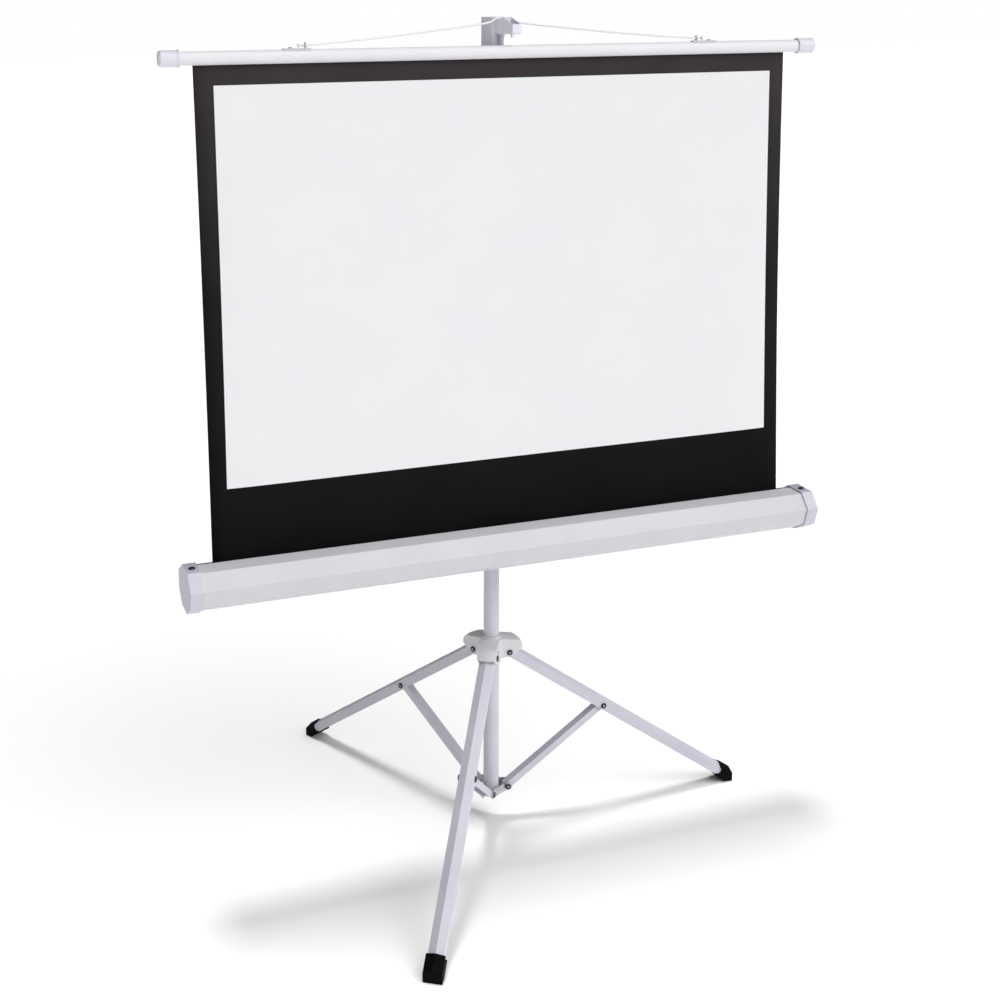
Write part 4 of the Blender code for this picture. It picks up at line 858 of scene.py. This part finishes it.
class SCREEN_OT_paint(bpy.types.Operator):
    """Powder coat on the mast, legs, braces, case, bar and cord clips"""

    bl_idname = "tripod_screen.paint"
    bl_label = "Powder coat"

    def execute(self, context):
        lilac = powder_coat("lilac_white_powder_coat", "C3C2CE", "CAC9D3")
        dress_nodes(PAINTED_NODES, lilac, SHEET_EDGE)
        white = powder_coat("white_powder_coat", "CBCACF", "CFCED3", 0.10)
        dress_nodes(CASE_NODES, white, SHEET_EDGE)
        # Painted light: the bar's coat is lighter than the case's, in place of the highlight along the
        # round bar
        dress_nodes(BAR_NODES, powder_coat("white_bar_enamel", "DEDDE1", "E2E1E5"), SHEET_EDGE)
        dress_nodes(CLIP_NODES, powder_coat("white_clip_enamel", "D0CFD4", "D6D5DA"), FINE_EDGE)
        return {"FINISHED"}


class SCREEN_OT_plastic(bpy.types.Operator):
    """Moulded white plastic on the hub, collar, hook, carriage and caps"""

    bl_idname = "tripod_screen.plastic"
    bl_label = "White plastic"

    def execute(self, context):
        for names, kind, colour, pale, grain in (
                (HUB_NODES, "grey_white_abs", "CDCDD0", "D3D3D6", 0.8),
                (HOOK_NODES, "lilac_white_abs", "D7D5E2", "DCDAE6", 0.8),
                (BAR_CAP_NODES, "white_polystyrene", "D5D4E0", "D9D8E3", 0.9),
                (END_CAP_NODES, "lilac_polystyrene", "C0BECC", "C6C4D1", 0.9)):
            dress_nodes(names, moulded_plastic(kind, colour, pale, 0.46, grain), PLASTIC_EDGE)
        return {"FINISHED"}


class SCREEN_OT_steel(bpy.types.Operator):
    """Zinc-plated steel on the bracket, bolt, rivets, screws, rods and roller fittings"""

    bl_idname = "tripod_screen.steel"
    bl_label = "Zinc steel"

    def execute(self, context):
        zinc = zinc_steel("zinc_plated_steel", "D2D2D8", "A9A9B2")
        dress_nodes(STEEL_NODES, zinc, FINE_EDGE)
        dress_nodes(BRACKET_NODES, zinc, 0.0)
        return {"FINISHED"}


class SCREEN_OT_rivets(bpy.types.Operator):
    """Lips and pins on the ends of the rivets, the lips in darker steel as painted shade and the pins in
    brighter steel as a painted highlight, and a washer under each cap screw
    """

    bl_idname = "tripod_screen.rivets"
    bl_label = "Rivet ends"

    def execute(self, context):
        sizes = context.scene.tripod_screen_sizes
        # Painted shade: the rolled lips are in darker steel than the rivets, for the shade in their hollow
        # ends
        lips = rolled_lip_tree(zinc_steel("dark_rivet_steel", "4C4C54", "1C1C20"))
        # Painted highlight: the pins are in brighter steel than the rivets
        eyes = pin_eye_tree(zinc_steel("bright_pin_steel", "B9B9C2", "6C6C76"))
        ends = {}
        for row in RIVET_ROWS:
            for arm, turn in ARM_TURNS.items():
                node = NODES[row + arm]
                low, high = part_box(row + arm)
                across = Vector((-math.sin(turn), math.cos(turn), 0.0))
                middle = (low + high) / 2
                half = max((vertex.co - middle).dot(across) for vertex in node.data.vertices)
                body = body_of(node)[0]
                for axis in (across, -across):
                    ends.setdefault(body, []).append((middle + axis * half, axis))
        for body, places in ends.items():
            for label, tree, height, widths in (
                    ("rivet_lips_", lips, sizes.lip_wire,
                     {"Ring radius": sizes.lip_radius, "Wire radius": sizes.lip_wire}),
                    ("rivet_eyes_", eyes, sizes.eye_height,
                     {"Eye radius": sizes.eye_radius, "Eye height": sizes.eye_height})):
                sunk = [(place - axis * height * SUNK_SHARE, axis) for place, axis in places]
                mesh = mesh_on_ends(label + body, sunk, tree, widths)
                place_piece(label + body, mesh, None, body)
        washers = []
        for name in SCREW_NODES:
            low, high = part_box(name)
            seat = (low + high) / 2
            seat.z = high.z - sizes.screw_lip_wire
            washers.append((seat, Vector((0.0, 0.0, 1.0))))
        ring = rolled_lip_tree(zinc_steel("blackened_washer", "5A5A62", "2A2A30"))
        mesh = mesh_on_ends("cap_screw_washers", washers, ring,
                            {"Ring radius": sizes.screw_lip_radius,
                             "Wire radius": sizes.screw_lip_wire})
        place_piece("cap_screw_washers", mesh, None, "column")
        return {"FINISHED"}


class SCREEN_OT_rubber(bpy.types.Operator):
    """Black rubber boots"""

    bl_idname = "tripod_screen.rubber"
    bl_label = "Rubber boots"

    def execute(self, context):
        dress_nodes(RUBBER_NODES, rubber("black_boot_rubber", "070708", "101012"), RUBBER_EDGE)
        return {"FINISHED"}


class SCREEN_OT_dark(bpy.types.Operator):
    """Black plastic knobs and plugs, blackened screws"""

    bl_idname = "tripod_screen.dark"
    bl_label = "Black fittings"

    def execute(self, context):
        nylon = moulded_plastic("black_nylon", "17171A", "202024", 0.45, 0.7)
        dress_nodes(DARK_NODES, nylon, PLASTIC_EDGE)
        dress_nodes(SCREW_NODES, zinc_steel("blackened_screw", "3A3A40", "202024"), FINE_EDGE)
        return {"FINISHED"}


class SCREEN_OT_stage(bpy.types.Operator):
    """Floor, soft light and the camera"""

    bl_idname = "tripod_screen.stage"
    bl_label = "Studio"

    def execute(self, context):
        scene = context.scene
        finishes = scene.tripod_screen_finishes
        work = bmesh.new()
        bmesh.ops.create_grid(work, x_segments=2, y_segments=2, size=FLOOR_HALF)
        mesh = bpy.data.meshes.new("studio_floor")
        work.to_mesh(mesh)
        work.free()
        floor = bpy.data.objects.new("studio_floor", mesh)
        floor.location.z = -FLOOR_DROP
        scene.collection.objects.link(floor)
        paper, tree, shader, place = start_material("studio_paper", FLOOR_GREY, 1.0)
        shader.inputs["Base Color"].default_value = list(finishes.floor_colour) + [1.0]
        shader.inputs["Specular IOR Level"].default_value = 0.0
        mesh.materials.append(paper)

        scene.world = studio_air(finishes.air_strength, finishes.side_strength, finishes.side_sharpness)
        data = bpy.data.lights.new("overhead_light", "SUN")
        data.energy = finishes.overhead_strength
        data.angle = OVERHEAD_SOFTNESS
        lamp = bpy.data.objects.new("overhead_light", data)
        lamp.rotation_euler = (-Vector(OVERHEAD_FROM)).to_track_quat("-Z", "Y").to_euler()
        scene.collection.objects.link(lamp)
        # The overhead light is for the floor alone: it keeps the floor white and draws the soft shadow
        lit = bpy.data.collections.new("lit_from_above")
        lit.objects.link(floor)
        lamp.light_linking.receiver_collection = lit

        ahead = Vector((math.sin(CAMERA_YAW) * math.cos(CAMERA_PITCH),
                        math.cos(CAMERA_YAW) * math.cos(CAMERA_PITCH), -math.sin(CAMERA_PITCH)))
        level = Vector((math.cos(CAMERA_YAW), -math.sin(CAMERA_YAW), 0.0))
        rise = level.cross(ahead)
        right = level * math.cos(CAMERA_ROLL) + rise * math.sin(CAMERA_ROLL)
        above = rise * math.cos(CAMERA_ROLL) - level * math.sin(CAMERA_ROLL)
        data = bpy.data.cameras.new("photo_camera")
        data.sensor_fit = "HORIZONTAL"
        data.sensor_width = CAMERA_SENSOR
        data.lens = CAMERA_LENS
        data.shift_x = CAMERA_SHIFT_X
        data.shift_y = CAMERA_SHIFT_Y
        data.clip_start = CAMERA_CLIP
        camera = bpy.data.objects.new("photo_camera", data)
        axes = Matrix((right, above, -ahead)).transposed().to_4x4()
        camera.matrix_world = Matrix.Translation(CAMERA_PLACE) @ axes
        scene.collection.objects.link(camera)
        scene.camera = camera
        scene.view_settings.view_transform = "Standard"
        return {"FINISHED"}


class SCREEN_PT_panel(bpy.types.Panel):
    """Lists the steps that dress the screen"""

    bl_label = "Tripod projection screen"
    bl_idname = "SCREEN_PT_panel"
    bl_space_type = "VIEW_3D"
    bl_region_type = "UI"
    bl_category = "Screen"

    def draw(self, context):
        for step in STEPS:
            self.layout.operator(step.bl_idname)
        scene = context.scene
        for group in (scene.tripod_screen_sizes, scene.tripod_screen_finishes):
            for key in group.__annotations__:
                self.layout.prop(group, key)


STEPS = (
    SCREEN_OT_stage, SCREEN_OT_cord, SCREEN_OT_cloth, SCREEN_OT_roll, SCREEN_OT_paint,
    SCREEN_OT_plastic, SCREEN_OT_steel, SCREEN_OT_rivets, SCREEN_OT_rubber, SCREEN_OT_dark,
)
CLASSES = (ScreenSizes, ScreenFinishes) + STEPS + (SCREEN_PT_panel,)


def register():
    for item in CLASSES:
        bpy.utils.register_class(item)
    bpy.types.Scene.tripod_screen_sizes = PointerProperty(type=ScreenSizes)
    bpy.types.Scene.tripod_screen_finishes = PointerProperty(type=ScreenFinishes)


def unregister():
    del bpy.types.Scene.tripod_screen_sizes
    del bpy.types.Scene.tripod_screen_finishes
    for item in reversed(CLASSES):
        bpy.utils.unregister_class(item)


def main():
    register()
    for item in list(bpy.data.objects):
        if item.type in {"LIGHT", "CAMERA"}:
            bpy.data.objects.remove(item, do_unlink=True)
    bpy.ops.tripod_screen.stage()
    bpy.ops.tripod_screen.cord()
    bpy.ops.tripod_screen.cloth()
    bpy.ops.tripod_screen.roll()
    bpy.ops.tripod_screen.paint()
    bpy.ops.tripod_screen.plastic()
    bpy.ops.tripod_screen.steel()
    bpy.ops.tripod_screen.rivets()
    bpy.ops.tripod_screen.rubber()
    bpy.ops.tripod_screen.dark()


if __name__ == "__main__":
    main()
